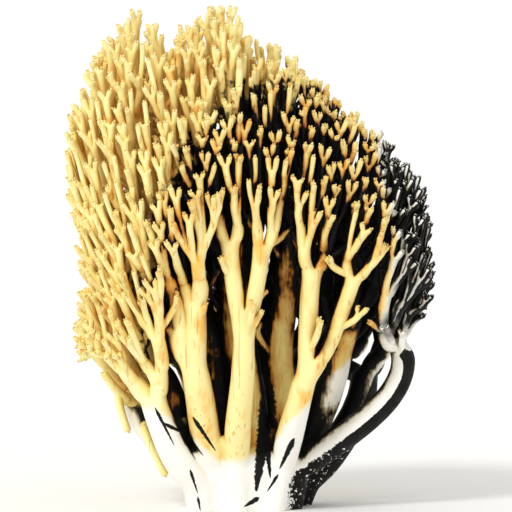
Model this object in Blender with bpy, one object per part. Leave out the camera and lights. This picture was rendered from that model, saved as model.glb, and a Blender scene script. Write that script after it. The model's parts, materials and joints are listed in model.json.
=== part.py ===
"""Coral fungus: a stout pale stem that forks again and again into a crown of upright, blunt-tipped branches.

Metres, +Z up. The origin is the middle of the flat cut under the stem, and the fungus is seen from -Y.
The crown's surface is worked out first, as a rounded body inside the outline that the fungus shows from the
front. Branch tips are spread over it. The branches are then found from the tips down: the tips of one limb are
halved again and again, and a fork stands below each pair of halves. Each limb is one closed skin, lofted
because its section changes at every fork, and it starts a hair's breadth above its root on the stem.
"""

import math
import random

import bmesh
import bpy
import numpy as np
from mathutils import Matrix, Vector, kdtree

MM = 0.001

# Crown, in millimetres: the outline seen from the front, from the lowest tips on the left round to the right
CROWN_OUTLINE = [
    (-56, 48), (-57, 62), (-53, 75), (-57, 90), (-59, 106), (-59, 122), (-54, 142), (-46, 155), (-38, 162),
    (-31, 159), (-27, 148), (-22, 158), (-12, 163), (-5, 165), (1, 152), (10, 150), (18, 145), (26, 138),
    (34, 130), (43, 122), (53, 113), (58, 103), (59, 90), (61, 77), (59, 66),
]
CROWN_MIDDLE = (0, 62)
CROWN_HALF_DEPTH = 44
CROWN_DEPTH_OFFSET = 3
CROWN_FULLNESS = 2.3
CROWN_TURN = (-2, 196)

# Height where the tips begin, by the direction from the axis: degrees from the right-hand side, by way of the back
CROWN_HEM = [
    (0, 66), (50, 56), (90, 58), (140, 54), (180, 47), (210, 50), (228, 76), (242, 96), (255, 104), (270, 108),
    (295, 106), (315, 98), (332, 84), (345, 76), (360, 66),
]
HEAD_SPACING = 21
HEAD_DOME = 7
HEAD_TRIES = 1300
TIP_SPACING = 4.4
TIP_TRIES = 26000
UPWARD = 0.62
SEED = 3

# Branches, in millimetres
TWIG_RADIUS = 0.78
PIPE_POWER = 2.3
SPLIT_RANGE = (0.38, 0.62)
SHORTEST_TWIG = 3.0
LENGTH_PER_RADIUS = 1.7
WIDEST_FORK = 1.15
FORK_DROP_RANGE = (1.0, 1.18)
FORK_PULL = 0.045
LEAST_DROP = 1.5
FLOOR_STEP = 5.5
LIMB_FLARE = 1.2
CLUB_TIPS = 9
CLUB_SHARE = 0.6

# Room kept between branches that do not meet
CLEARANCE = 0.7
EASING_ROUNDS = 10
EASING_STEP = 0.5
EASING_SHARES = (0.3, 0.55, 0.8, 1.0)

# Skin
SIDES = 6
NEARBY = 0.02
RING_STEP = 14
FRAME_STEPS = 12
PARTING_STEP = 0.25
MOST_PALM = 0.6
PALM_SHARE = 0.75
SADDLE_RISE = 0.2
JOINT_GAP = 0.3

# Stem, in millimetres: height of each ring, its half-widths, and where its middle is. It starts under the cut
STEM_RINGS = [
    (-4, (13.5, 12), (-2, 0)), (7, (15, 13.5), (-1, 0)), (13, (18, 15), (0, 0)), (18, (17, 14), (0, 0)),
    (23, (12, 11), (0, 1)), (26, (7, 7), (0, 1)),
]
STEM_SIDES = 16
ROOT_SHARE = 0.62
ROOT_SHIFT = -1.5
ROOT_RADIUS = 4.4
ROOT_DEPTH = -6
STUB_LENGTH = 8
STUB_TAPER = 0.9
CUT_WIDTH = 90
CUT_DEPTH = 10

# Side shoots that arch out of the lower left limb and droop: root, the point they lean towards, and free end
SHOOTS_ON = "lower_left_limb"
SHOOTS = {
    "long_shoot": ((-34, 1, 30), (-47, -4, 45), (-39, -6, 25)),
    "long_shoot_prong": ((-39, -2, 34), (-43, -4, 38), (-47, -6, 44)),
    "short_shoot": ((-26, 4, 20), (-41, -4, 38), (-27, -7, 11)),
}
SHOOT_RADII = (1.9, 1.2)
SHOOT_RINGS = 9

# Main limbs: where each leaves the stem, the way it leaves, its first fork, and the middle of its tips
LIMBS = {
    "front_left_limb": ((-13.5, -12.5, 22), (-0.25, -0.6, 1), (-17, -22, 44), (-25, -36, 106)),
    "front_centre_limb": ((-4, -16, 23), (-0.05, -0.6, 1), (-2, -25, 50), (1, -42, 118)),
    "front_right_limb": ((12, -14, 22), (0.25, -0.6, 1), (17, -22, 42), (27, -36, 108)),
    "right_limb": ((21, -4, 17), (1, -0.1, 0.4), (49, -5, 50), (58, -4, 84)),
    "left_limb": ((-21.4, -6.2, 22), (-0.6, -0.35, 0.9), (-28, -9, 43), (-54, -8, 92)),
    "lower_left_limb": ((-20, 5.5, 15), (-1, 0, 0.5), (-37, 4, 34), (-54, 6, 60)),
    "lower_front_left_limb": ((-21, -14, 14), (-0.7, -0.5, 0.6), (-30, -18, 34), (-42, -26, 62)),
    "upper_left_limb": ((-11, -3, 26), (0, -0.2, 1), (-14, -3, 60), (-42, -2, 138)),
    "centre_limb": ((0, -6, 27), (-0.05, -0.3, 1), (-6, -9, 66), (-12, -14, 148)),
    "centre_right_limb": ((11, -3, 26), (-0.1, -0.2, 1), (10, -7, 56), (18, -16, 134)),
    "upper_right_limb": ((19, 6, 22), (0.6, 0.1, 1), (28, 0, 46), (46, -4, 108)),
    "back_left_limb": ((-12, 13, 22), (-0.3, 0.5, 1), (-18, 18, 44), (-34, 32, 108)),
    "back_centre_limb": ((0, 17.5, 23), (0.1, 0.6, 1), (4, 24, 48), (0, 42, 110)),
    "back_right_limb": ((12, 15, 22), (0.3, 0.6, 1), (19, 19, 40), (34, 32, 98)),
    "lower_back_right_limb": ((23, 12, 13), (1, 0.3, 0.6), (37, 15, 40), (50, 20, 70)),
    "back_top_limb": ((0, 6, 27), (-0.1, 0.2, 1), (-4, 13, 62), (-12, 20, 144)),
}

# Flesh
BRANCH_COLOUR = (0.83, 0.62, 0.25)
STEM_COLOUR = (0.86, 0.8, 0.6)
FLESH_ROUGHNESS = 0.6


def outline_radius(angle):
    """How far the crown reaches from its middle, seen from the front, at an angle above the right-hand side."""
    points = np.array(CROWN_OUTLINE, float) - CROWN_MIDDLE
    angles = np.unwrap(np.arctan2(points[:, 1], points[:, 0])[::-1])
    radii = np.hypot(points[:, 0], points[:, 1])[::-1]
    return float(np.interp(angle, angles, radii))


def crown_point(angle, reach, side):
    """A point of the crown's surface: reach is its share of the outline's radius, and side is -1 in front."""
    radius = outline_radius(angle) * reach
    bulge = (1 - reach**CROWN_FULLNESS) ** (1 / CROWN_FULLNESS)
    return Vector((
        CROWN_MIDDLE[0] + radius * math.cos(angle),
        CROWN_DEPTH_OFFSET + side * CROWN_HALF_DEPTH * bulge,
        CROWN_MIDDLE[1] + radius * math.sin(angle),
    ))


def hem_height(point):
    """The height where the tips begin: high in front, where the limbs stand bare, and lower elsewhere."""
    direction = math.degrees(math.atan2(point.y, point.x)) % 360
    return np.interp(direction, *zip(*CROWN_HEM))


def scattered(spacing, tries, source):
    """Points spread over the crown, none nearer to another than spacing."""
    kept = np.empty((0, 3))
    turn = [math.radians(angle) for angle in CROWN_TURN]
    for _ in range(tries):
        angle = source.uniform(*turn)
        point = crown_point(angle, source.random() ** 0.5, source.choice((-1, 1)))
        if point.z < hem_height(point):
            continue
        if len(kept) and np.min(((kept - point) ** 2).sum(1)) < spacing**2:
            continue
        kept = np.vstack((kept, point))
    return kept


def growth_direction(point):
    """Which way a tip at this point grows: mostly up, and partly outwards."""
    outward = (point - Vector((CROWN_MIDDLE[0], CROWN_DEPTH_OFFSET, CROWN_MIDDLE[1]))).normalized()
    return (Vector((0, 0, UPWARD)) + outward * (1 - UPWARD)).normalized()


def crown_tips():
    """Every tip's place and direction. The crown is made of domed heads, so tips between two heads sit lower."""
    source = random.Random(SEED)
    heads = scattered(HEAD_SPACING, HEAD_TRIES, source)
    tips = []
    for place in scattered(TIP_SPACING, TIP_TRIES, source):
        nearest = math.sqrt(np.min(((heads - place) ** 2).sum(1)))
        point = Vector(place)
        direction = growth_direction(point)
        tips.append((point - direction * HEAD_DOME * (nearest / HEAD_SPACING) ** 2, direction))
    return tips


def shared_out(tips):
    """The tips that each limb carries: those nearer to its own part of the crown than to another's."""
    middles = {name: Vector(middle) for name, (_, _, _, middle) in LIMBS.items()}
    shares = {name: [] for name in LIMBS}
    for tip in tips:
        nearest = min(middles, key=lambda name: (middles[name] - tip[0]).length)
        shares[nearest].append(tip)
    return shares


def mean(vectors):
    return sum(vectors, Vector()) / len(vectors)


class Branch:
    """A curved stretch that ends in a fork, or in a tip if it carries no more branches."""

    def __init__(self, end, aim, count, children):
        self.end = end
        self.aim = aim
        self.count = count
        self.children = children
        self.before = None
        self.thick = TWIG_RADIUS * count ** (1 / PIPE_POWER)
        for child in children:
            child.before = self

    def all_of_it(self):
        found = [self]
        for child in self.children:
            found += child.all_of_it()
        return found

    def settle(self):
        """Works the curve out again from where its two ends are now."""
        self.start = self.before.end
        chord = self.end - self.start
        self.length = chord.length
        self.leaving = (self.before.aim + chord.normalized()).normalized() * self.length
        self.arriving = self.aim * self.length

    def point(self, t):
        return (
            self.start * (2 * t**3 - 3 * t**2 + 1)
            + self.leaving * (t**3 - 2 * t**2 + t)
            + self.end * (3 * t**2 - 2 * t**3)
            + self.arriving * (t**3 - t**2)
        )

    def tangent(self, t):
        return (self.point(min(1, t + NEARBY)) - self.point(max(0, t - NEARBY))).normalized()


class LimbBase:
    """Where a limb leaves the stem, and the way it leaves."""

    def __init__(self, end, aim):
        self.end = end
        self.aim = aim


def halves(tips, aim, source):
    """The tips in two groups, parted across their longest spread seen along the branch."""
    centre = mean([place for place, _ in tips])
    flat = np.array([(place - centre) - aim * (place - centre).dot(aim) for place, _ in tips])
    axis = np.linalg.svd(flat)[2][0]
    order = np.argsort(flat @ axis)
    cut = max(1, min(len(tips) - 1, round(len(tips) * source.uniform(*SPLIT_RANGE))))
    return [tips[i] for i in order[:cut]], [tips[i] for i in order[cut:]]


def gathered(tips, fork, floor, source):
    """The branches that carry these tips, found from the tips down, with no fork below the floor."""
    if len(tips) == 1:
        return Branch(tips[0][0], tips[0][1], 1, [])
    aim = mean([direction for _, direction in tips]).normalized()
    parts = [gathered(part, fork, floor + FLOOR_STEP, source) for part in halves(tips, aim, source)]
    middle = mean([part.end for part in parts])
    aim = (aim + (middle - fork).normalized() * FORK_PULL * len(tips)).normalized()
    drop = 0
    for part in parts:
        off = part.end - middle
        along = off.dot(aim)
        across = (off - aim * along).length
        shortest = SHORTEST_TWIG + LENGTH_PER_RADIUS * part.thick
        drop = max(drop, max(shortest, across / WIDEST_FORK) - along)
    drop = min(drop * source.uniform(*FORK_DROP_RANGE), (middle.z - floor) / aim.z)
    return Branch(middle - aim * max(LEAST_DROP, drop), aim, len(tips), parts)


def eased_apart(limbs):
    """Moves forks and tips a little at a time, until branches that do not meet no longer touch."""
    branches = [branch for limb in limbs for branch in limb.all_of_it()]
    widest = max(branch.thick for branch in branches)
    for _ in range(EASING_ROUNDS):
        for branch in branches:
            branch.settle()
        samples = [(branch, t, branch.point(t)) for branch in branches for t in EASING_SHARES]
        near = kdtree.KDTree(len(samples))
        for i, (_, _, place) in enumerate(samples):
            near.insert(place, i)
        near.balance()
        moves = {branch: Vector() for branch in branches}
        for i, (one, t, place) in enumerate(samples):
            for _, j, distance in near.find_range(place, one.thick + widest + CLEARANCE):
                other, u, other_place = samples[j]
                short = one.thick + other.thick + CLEARANCE - distance
                meet = one is other or one.before in (other, other.before) or other.before is one
                if j <= i or short <= 0 or meet:
                    continue
                push = (place - other_place).normalized() * short / 2 * EASING_STEP
                for branch, share, way in ((one, t, push), (other, u, -push)):
                    moves[branch] += way * share
                    if branch.before in moves:
                        moves[branch.before] += way * (1 - share)
        for branch, move in moves.items():
            branch.end = branch.end + move
    for branch in branches:
        branch.settle()


def limb_trees():
    """The lowest branch of every limb, by name."""
    shares = shared_out(crown_tips())
    limbs = {}
    for name, (base, leaving, fork, _) in LIMBS.items():
        source = random.Random(f"{SEED} {name}")
        limb = gathered(shares[name], Vector(fork), fork[2], source)
        limb.end = Vector(fork)
        limb.before = LimbBase(Vector(base), Vector(leaving).normalized())
        limbs[name] = limb
    eased_apart(limbs.values())
    return limbs


def pruned(branch):
    """Turns every group of a few tips into one club that is as broad as they are."""
    if branch.count > CLUB_TIPS:
        for child in branch.children:
            pruned(child)
        return
    tips = [part.end for part in branch.all_of_it() if not part.children]
    branch.children = []
    branch.end = mean(tips)
    branch.settle()
    offsets = np.array([place - branch.end for place in tips])
    branch.spread = offsets.T @ offsets / len(tips)


def turned(frame, tangent):
    """The frame, two directions across a branch, carried on square to a new tangent."""
    first = (frame[0] - tangent * frame[0].dot(tangent)).normalized()
    return first, tangent.cross(first)


def across_at(frame, corner):
    """The direction from the middle of a branch to one of its corners."""
    angle = 2 * math.pi * corner / SIDES
    return frame[0] * math.cos(angle) + frame[1] * math.sin(angle)


def ring(bm, middle, frame, reach):
    """Corners round a point, each as far out as reach says for its direction."""
    ways = [across_at(frame, corner) for corner in range(SIDES)]
    return [bm.verts.new((middle + way * reach(way)) * MM) for way in ways]


def joined(bm, lower, upper):
    for k in range(SIDES):
        after = (k + 1) % SIDES
        bm.faces.new((lower[k], lower[after], upper[after], upper[k]))


def club_reach(branch):
    """How far the blunt end of a club reaches in a direction, to cover the tips that it stands for."""
    return lambda way: CLUB_SHARE * math.sqrt(np.array(way) @ branch.spread @ np.array(way)) + TWIG_RADIUS


def loft_branch(bm, branch, corners, frame, begun, flare=1.0):
    """Carries a ring of corners along a branch from the share begun of its length, then forks or closes it."""
    steps = max(1, round(branch.length * (1 - begun) / RING_STEP))
    for i in range(1, steps):
        t = begun + (1 - begun) * i / steps
        frame = turned(frame, branch.tangent(t))
        radius = branch.thick * (flare + (1 - flare) * t)
        upper = ring(bm, branch.point(t), frame, lambda way: radius)
        joined(bm, corners, upper)
        corners = upper
    frame = turned(frame, branch.tangent(1))
    if branch.children:
        loft_fork(bm, branch, corners, frame)
        return
    upper = ring(bm, branch.end, frame, club_reach(branch))
    joined(bm, corners, upper)
    bm.faces.new(upper)


def parting(left, right):
    """How far along its two branches a fork comes apart."""
    shorter = min(left.length, right.length)
    distance = 0
    while distance < MOST_PALM * shorter:
        distance += PARTING_STEP
        a, b = distance / left.length, distance / right.length
        if (left.point(a) - right.point(b)).length > left.thick + right.thick:
            break
    return distance


def fork_plane(branch):
    """How far on a fork parts, and the directions across it: from prong to prong, and through the palm."""
    left, right = branch.children
    distance = parting(left, right)
    tangent = branch.tangent(1)
    apart = left.point(distance / left.length) - right.point(distance / right.length)
    wide = (apart - tangent * apart.dot(tangent)).normalized()
    return distance, wide, tangent.cross(wide)


def loft_fork(bm, branch, corners, frame):
    """Widens a branch into a palm as broad as its two prongs, and parts the palm into one ring for each."""
    left, right = branch.children
    distance, wide, deep = fork_plane(branch)
    first = max(range(SIDES), key=lambda corner: across_at(frame, corner).dot(deep))
    low = distance * PALM_SHARE
    sides = left.point(low / left.length), right.point(low / right.length)
    radius = (left.thick + right.thick) / 2
    reach = radius + (sides[0] - sides[1]).length / 2
    palm = ring(bm, mean(sides), (deep, -wide), lambda way: math.hypot(radius * way.dot(deep), reach * way.dot(wide)))
    joined(bm, corners[first:] + corners[:first], palm)
    half = SIDES // 2
    saddle = []
    for k in range(1, half):
        place = palm[0].co.lerp(palm[half].co, k / half)
        rise = SADDLE_RISE * radius * math.sin(math.pi * k / half)
        saddle.append(bm.verts.new(place + branch.tangent(1) * rise * MM))
    loops = palm[half:] + palm[:1] + saddle, palm[: half + 1] + saddle[::-1]
    for child, loop, out in ((left, loops[0], wide), (right, loops[1], -wide)):
        begun = distance / child.length
        along = child.tangent(begun)
        second = (out - along * out.dot(along)).normalized()
        prong = second.cross(along), second
        upper = ring(bm, child.point(begun), prong, lambda way: child.thick)
        joined(bm, loop, upper)
        loft_branch(bm, child, upper, prong, begun)


def material(name, colour):
    made = bpy.data.materials.new(name)
    made.use_nodes = True
    shader = made.node_tree.nodes["Principled BSDF"]
    shader.inputs["Base Color"].default_value = (*colour, 1)
    shader.inputs["Roughness"].default_value = FLESH_ROUGHNESS
    return made


def added(name, bm, collection, finish):
    """A mesh object in the collection, with its surface and smooth shading."""
    mesh = bpy.data.meshes.new(name)
    bm.to_mesh(mesh)
    bm.free()
    mesh.materials.append(finish)
    mesh.shade_smooth()
    made = bpy.data.objects.new(name, mesh)
    collection.objects.link(made)
    return made


def limb_frame(limb):
    """Directions across the base of a limb that come out in line with its first fork."""
    frame = fork_plane(limb)[2], None
    for i in range(FRAME_STEPS, -1, -1):
        frame = turned(frame, limb.tangent(i / FRAME_STEPS))
    return frame


def limb_solid(name, limb, collection, finish):
    """A limb as one closed skin, from its flat base to its blunt ends."""
    bm = bmesh.new()
    frame = limb_frame(limb)
    radius = limb.thick * LIMB_FLARE
    corners = ring(bm, limb.point(0) + limb.tangent(0) * JOINT_GAP, frame, lambda way: radius)
    bm.faces.new(corners[::-1])
    loft_branch(bm, limb, corners, frame, 0, LIMB_FLARE)
    return added(name, bm, collection, finish)


def root_solid(name, limb, collection, finish):
    """The root of a limb: it rises as a ridge from the foot of the stem and ends flat just under the limb."""
    bm = bmesh.new()
    frame = limb_frame(limb)
    base = limb.point(0)
    radius = limb.thick * LIMB_FLARE
    bend = base - limb.tangent(0) * STUB_LENGTH
    foot = Vector((base.x * ROOT_SHARE + ROOT_SHIFT, base.y * ROOT_SHARE, ROOT_DEPTH))
    lowest = ring(bm, foot, turned(frame, (bend - foot).normalized()), lambda way: ROOT_RADIUS)
    middle = ring(bm, bend, frame, lambda way: radius * STUB_TAPER)
    highest = ring(bm, base, frame, lambda way: radius)
    bm.faces.new(lowest[::-1])
    joined(bm, lowest, middle)
    joined(bm, middle, highest)
    bm.faces.new(highest)
    return added(name, bm, collection, finish)


def shoot_solid(name, points, collection, finish):
    """A thin side shoot, bent from its root towards the second point and on to its free end."""
    bm = bmesh.new()
    root, lean, tip = (Vector(point) for point in points)
    frame = Vector((0, 1, 0)), None
    lower = None
    for i in range(SHOOT_RINGS):
        t = i / (SHOOT_RINGS - 1)
        place = root * (1 - t) ** 2 + lean * 2 * t * (1 - t) + tip * t**2
        frame = turned(frame, ((lean - root) * (1 - t) + (tip - lean) * t).normalized())
        radius = SHOOT_RADII[0] + (SHOOT_RADII[1] - SHOOT_RADII[0]) * t
        upper = ring(bm, place, frame, lambda way: radius)
        if lower:
            joined(bm, lower, upper)
        else:
            bm.faces.new(upper[::-1])
        lower = upper
    bm.faces.new(lower)
    return added(name, bm, collection, finish)


def ground_block(collection, finish):
    """Everything under the cut."""
    bm = bmesh.new()
    size = Vector((CUT_WIDTH, CUT_WIDTH, CUT_DEPTH)) * MM
    bmesh.ops.create_cube(bm, size=1, matrix=Matrix.LocRotScale(Vector((0, 0, -size.z / 2)), None, size))
    return added("ground", bm, collection, finish)


def boolean(piece, other, operation):
    other.hide_render = True
    other.display_type = "WIRE"
    change = piece.modifiers.new(other.name, "BOOLEAN")
    change.operation = operation
    change.solver = "MANIFOLD"
    change.object = other


def stem_solid(roots, ground, collection, finish):
    """The stout stem, with the roots of the limbs grown on, cut off flat at the ground."""
    bm = bmesh.new()
    turns = [2 * math.pi * k / STEM_SIDES for k in range(STEM_SIDES)]
    rings = []
    for height, (wide, deep), (x, y) in STEM_RINGS:
        corners = [(x + wide * math.cos(angle), y + deep * math.sin(angle), height) for angle in turns]
        rings.append([bm.verts.new(Vector(corner) * MM) for corner in corners])
    bm.faces.new(rings[0][::-1])
    for lower, upper in zip(rings, rings[1:]):
        for k in range(STEM_SIDES):
            after = (k + 1) % STEM_SIDES
            bm.faces.new((lower[k], lower[after], upper[after], upper[k]))
    bm.faces.new(rings[-1])
    stem = added("stem", bm, collection, finish)
    for root in roots:
        boolean(stem, root, "UNION")
    boolean(stem, ground, "DIFFERENCE")


def main():
    for old in list(bpy.data.objects):
        bpy.data.objects.remove(old)
    fungus, joined_on = (bpy.data.collections.new(name) for name in ("coral_fungus", "grown_on_or_cut_away"))
    for collection in (fungus, joined_on):
        bpy.context.scene.collection.children.link(collection)
    finish = material("branch_flesh", BRANCH_COLOUR)
    stem_finish = material("stem_flesh", STEM_COLOUR)
    roots = []
    for name, limb in limb_trees().items():
        pruned(limb)
        solid = limb_solid(name, limb, fungus, finish)
        roots.append(root_solid(f"{name}_root", limb, joined_on, stem_finish))
        if name == SHOOTS_ON:
            for shoot, points in SHOOTS.items():
                boolean(solid, shoot_solid(shoot, points, joined_on, finish), "UNION")
    stem_solid(roots, ground_block(joined_on, stem_finish), fungus, stem_finish)


main()
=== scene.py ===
# %% [markdown]
# A coral fungus, dressed for its portrait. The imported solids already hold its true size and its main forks,
# but each bunch of fine twigs is only a blunt club there. This lesson grows the same tree again with every
# twig on it, wraps it in one smooth skin, and colours the flesh from the light that reaches each spot. The
# first cell loads the solids, because everything below is measured against them.

# %% Load the solids
import json
import math
import random

import bmesh
import bpy
import numpy as np
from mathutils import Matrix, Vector, kdtree
from mathutils.bvhtree import BVHTree

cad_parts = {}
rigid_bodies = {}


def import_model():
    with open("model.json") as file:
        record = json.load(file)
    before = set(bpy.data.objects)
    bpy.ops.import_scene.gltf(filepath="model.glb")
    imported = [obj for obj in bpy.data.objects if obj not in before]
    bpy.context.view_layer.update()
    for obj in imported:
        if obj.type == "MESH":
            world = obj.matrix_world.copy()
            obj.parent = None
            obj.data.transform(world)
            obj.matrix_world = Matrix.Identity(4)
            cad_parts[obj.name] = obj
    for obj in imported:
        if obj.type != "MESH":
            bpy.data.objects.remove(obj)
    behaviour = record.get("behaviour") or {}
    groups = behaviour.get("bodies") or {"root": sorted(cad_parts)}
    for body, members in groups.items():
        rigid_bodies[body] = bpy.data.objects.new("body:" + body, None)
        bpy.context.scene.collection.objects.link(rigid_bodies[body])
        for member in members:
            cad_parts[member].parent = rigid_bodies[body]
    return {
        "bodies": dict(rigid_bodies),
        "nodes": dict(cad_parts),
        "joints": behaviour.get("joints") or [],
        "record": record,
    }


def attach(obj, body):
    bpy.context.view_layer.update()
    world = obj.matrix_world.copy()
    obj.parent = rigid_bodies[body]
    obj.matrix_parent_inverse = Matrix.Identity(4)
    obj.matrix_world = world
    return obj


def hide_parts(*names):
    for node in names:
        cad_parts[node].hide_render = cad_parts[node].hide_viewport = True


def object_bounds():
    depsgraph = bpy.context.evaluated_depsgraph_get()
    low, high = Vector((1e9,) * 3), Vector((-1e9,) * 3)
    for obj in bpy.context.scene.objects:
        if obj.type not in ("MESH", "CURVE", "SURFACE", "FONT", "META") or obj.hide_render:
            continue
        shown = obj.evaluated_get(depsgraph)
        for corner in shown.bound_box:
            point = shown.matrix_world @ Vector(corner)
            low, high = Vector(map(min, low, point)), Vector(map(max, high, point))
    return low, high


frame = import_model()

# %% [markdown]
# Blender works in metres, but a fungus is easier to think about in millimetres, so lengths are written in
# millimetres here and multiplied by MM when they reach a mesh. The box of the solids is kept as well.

MM = 0.001
solids_box = [list(corner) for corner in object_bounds()]
LOW, HIGH = (Vector(corner) / MM for corner in solids_box)
print("solids reach from", [round(v) for v in LOW], "to", [round(v) for v in HIGH], "mm")

# %% [markdown]
# The photograph is a drawing seen straight from the front, with hardly any perspective. A camera far away
# with a long lens gives that flat look. Its distance and lens follow from the scale: one pixel of the 512
# by 512 picture is a fixed number of millimetres on the fungus, and the foot of the stem stands on a known
# row.

# %% The camera in front
PIXELS = 512
MM_PER_PIXEL = 0.322
MIDDLE_COLUMN = 250
GROUND_ROW = 507
CAMERA_DISTANCE = 1500
CAMERA_RISE = math.radians(3)


def camera_in_front():
    """A long lens that looks at the middle of the picture from a little above the ground."""
    target = Vector((
        (PIXELS / 2 - MIDDLE_COLUMN) * MM_PER_PIXEL,
        (LOW.y + HIGH.y) / 2,
        (GROUND_ROW - PIXELS / 2) * MM_PER_PIXEL,
    )) * MM
    back = Vector((0, -math.cos(CAMERA_RISE), math.sin(CAMERA_RISE)))
    lens = bpy.data.cameras.new("front_view")
    lens.lens = lens.sensor_width * CAMERA_DISTANCE / (PIXELS * MM_PER_PIXEL)
    camera = bpy.data.objects.new("front_view", lens)
    camera.location = target + back * CAMERA_DISTANCE * MM
    camera.rotation_euler = (-back).to_track_quat("-Z", "Y").to_euler()
    bpy.context.scene.collection.objects.link(camera)
    bpy.context.scene.camera = camera
    return camera


camera = camera_in_front()
print("lens", round(camera.data.lens), "mm at", CAMERA_DISTANCE, "mm")

# %% [markdown]
# The crown is a rounded body with the drawing's outline. Seen from the front, its edge is given point by
# point. In depth it is blown up like a cushion, so that one formula gives every point of its surface. A
# sculpted body would look the same, but a formula can also tell later on whether a point lies inside the
# crown.

# %% The crown's surface
CROWN_OUTLINE = [
    (-56, 48), (-57, 62), (-53, 75), (-57, 90), (-59, 106), (-59, 122), (-54, 142), (-46, 155), (-38, 162),
    (-31, 159), (-27, 148), (-22, 158), (-12, 163), (-5, 165), (1, 152), (10, 150), (18, 145), (26, 138),
    (34, 130), (43, 122), (53, 113), (58, 103), (59, 90), (61, 77), (59, 66),
]
CROWN_MIDDLE = (0, 62)
CROWN_HALF_DEPTH = 44
CROWN_DEPTH_OFFSET = 3
CROWN_FULLNESS = 2.3


def outline_radius(angle):
    """How far the crown reaches from its middle, seen from the front, at an angle above the right."""
    points = np.array(CROWN_OUTLINE, float) - CROWN_MIDDLE
    angles = np.unwrap(np.arctan2(points[:, 1], points[:, 0])[::-1])
    radii = np.hypot(points[:, 0], points[:, 1])[::-1]
    return float(np.interp(angle, angles, radii))


def half_depth(reach):
    """How deep the crown is before or behind its middle, at a share of the way out to its outline."""
    return CROWN_HALF_DEPTH * (1 - reach**CROWN_FULLNESS) ** (1 / CROWN_FULLNESS)


def crown_point(angle, reach, side):
    """A point of the crown's surface, at a share of the way to its outline. Side is -1 in front."""
    radius = outline_radius(angle) * reach
    return Vector((
        CROWN_MIDDLE[0] + radius * math.cos(angle),
        CROWN_DEPTH_OFFSET + side * half_depth(reach),
        CROWN_MIDDLE[1] + radius * math.sin(angle),
    ))


print("the crown reaches", round(outline_radius(math.pi / 2)), "mm above its middle")

# %% [markdown]
# Real branch tips all end near one surface, like the leaves of a hedge. So the tips come first, and the
# branches are made to reach them. Points are thrown over the surface and kept where they are not too near
# to another, which gives an even but lively spread. The same seed and sizes as in the solids give the same
# tips.

# %% Tips over the crown
CROWN_TURN = (-2, 196)
CROWN_HEM = [
    (0, 66), (50, 56), (90, 58), (140, 54), (180, 47), (210, 50), (228, 76), (242, 96), (255, 104),
    (270, 108), (295, 106), (315, 98), (332, 84), (345, 76), (360, 66),
]
HEAD_SPACING = 21
HEAD_DOME = 7
HEAD_TRIES = 1300
TIP_SPACING = 4.4
TIP_TRIES = 26000
UPWARD = 0.62
SEED = 3


def hem_height(point):
    """The height where the tips begin: high in front, where the limbs stand bare, and lower elsewhere."""
    direction = math.degrees(math.atan2(point.y, point.x)) % 360
    return np.interp(direction, *zip(*CROWN_HEM))


def scattered(spacing, tries, source):
    """Points spread over the crown, none nearer to another than spacing."""
    kept = np.empty((0, 3))
    turn = [math.radians(angle) for angle in CROWN_TURN]
    for _ in range(tries):
        angle = source.uniform(*turn)
        point = crown_point(angle, source.random() ** 0.5, source.choice((-1, 1)))
        if point.z < hem_height(point):
            continue
        if len(kept) and np.min(((kept - point) ** 2).sum(1)) < spacing**2:
            continue
        kept = np.vstack((kept, point))
    return kept


def growth_direction(point):
    """Which way a tip at this point grows: mostly up, and partly outwards."""
    outward = (point - Vector((CROWN_MIDDLE[0], CROWN_DEPTH_OFFSET, CROWN_MIDDLE[1]))).normalized()
    return (Vector((0, 0, UPWARD)) + outward * (1 - UPWARD)).normalized()


def crown_tips():
    """Every tip's place and direction. The crown has domed heads, so tips between two heads sit lower."""
    source = random.Random(SEED)
    heads = scattered(HEAD_SPACING, HEAD_TRIES, source)
    tips = []
    for place in scattered(TIP_SPACING, TIP_TRIES, source):
        nearest = math.sqrt(np.min(((heads - place) ** 2).sum(1)))
        point = Vector(place)
        direction = growth_direction(point)
        tips.append((point - direction * HEAD_DOME * (nearest / HEAD_SPACING) ** 2, direction))
    return tips


tips = crown_tips()
print(len(tips), "tips over the crown")

# %% [markdown]
# Sixteen main limbs share the tips, each taking those nearest to its own part of the crown. For every limb
# the solids fix where it leaves the stem, which way it sets off, where it forks first, and the middle of
# its tips.

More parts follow.
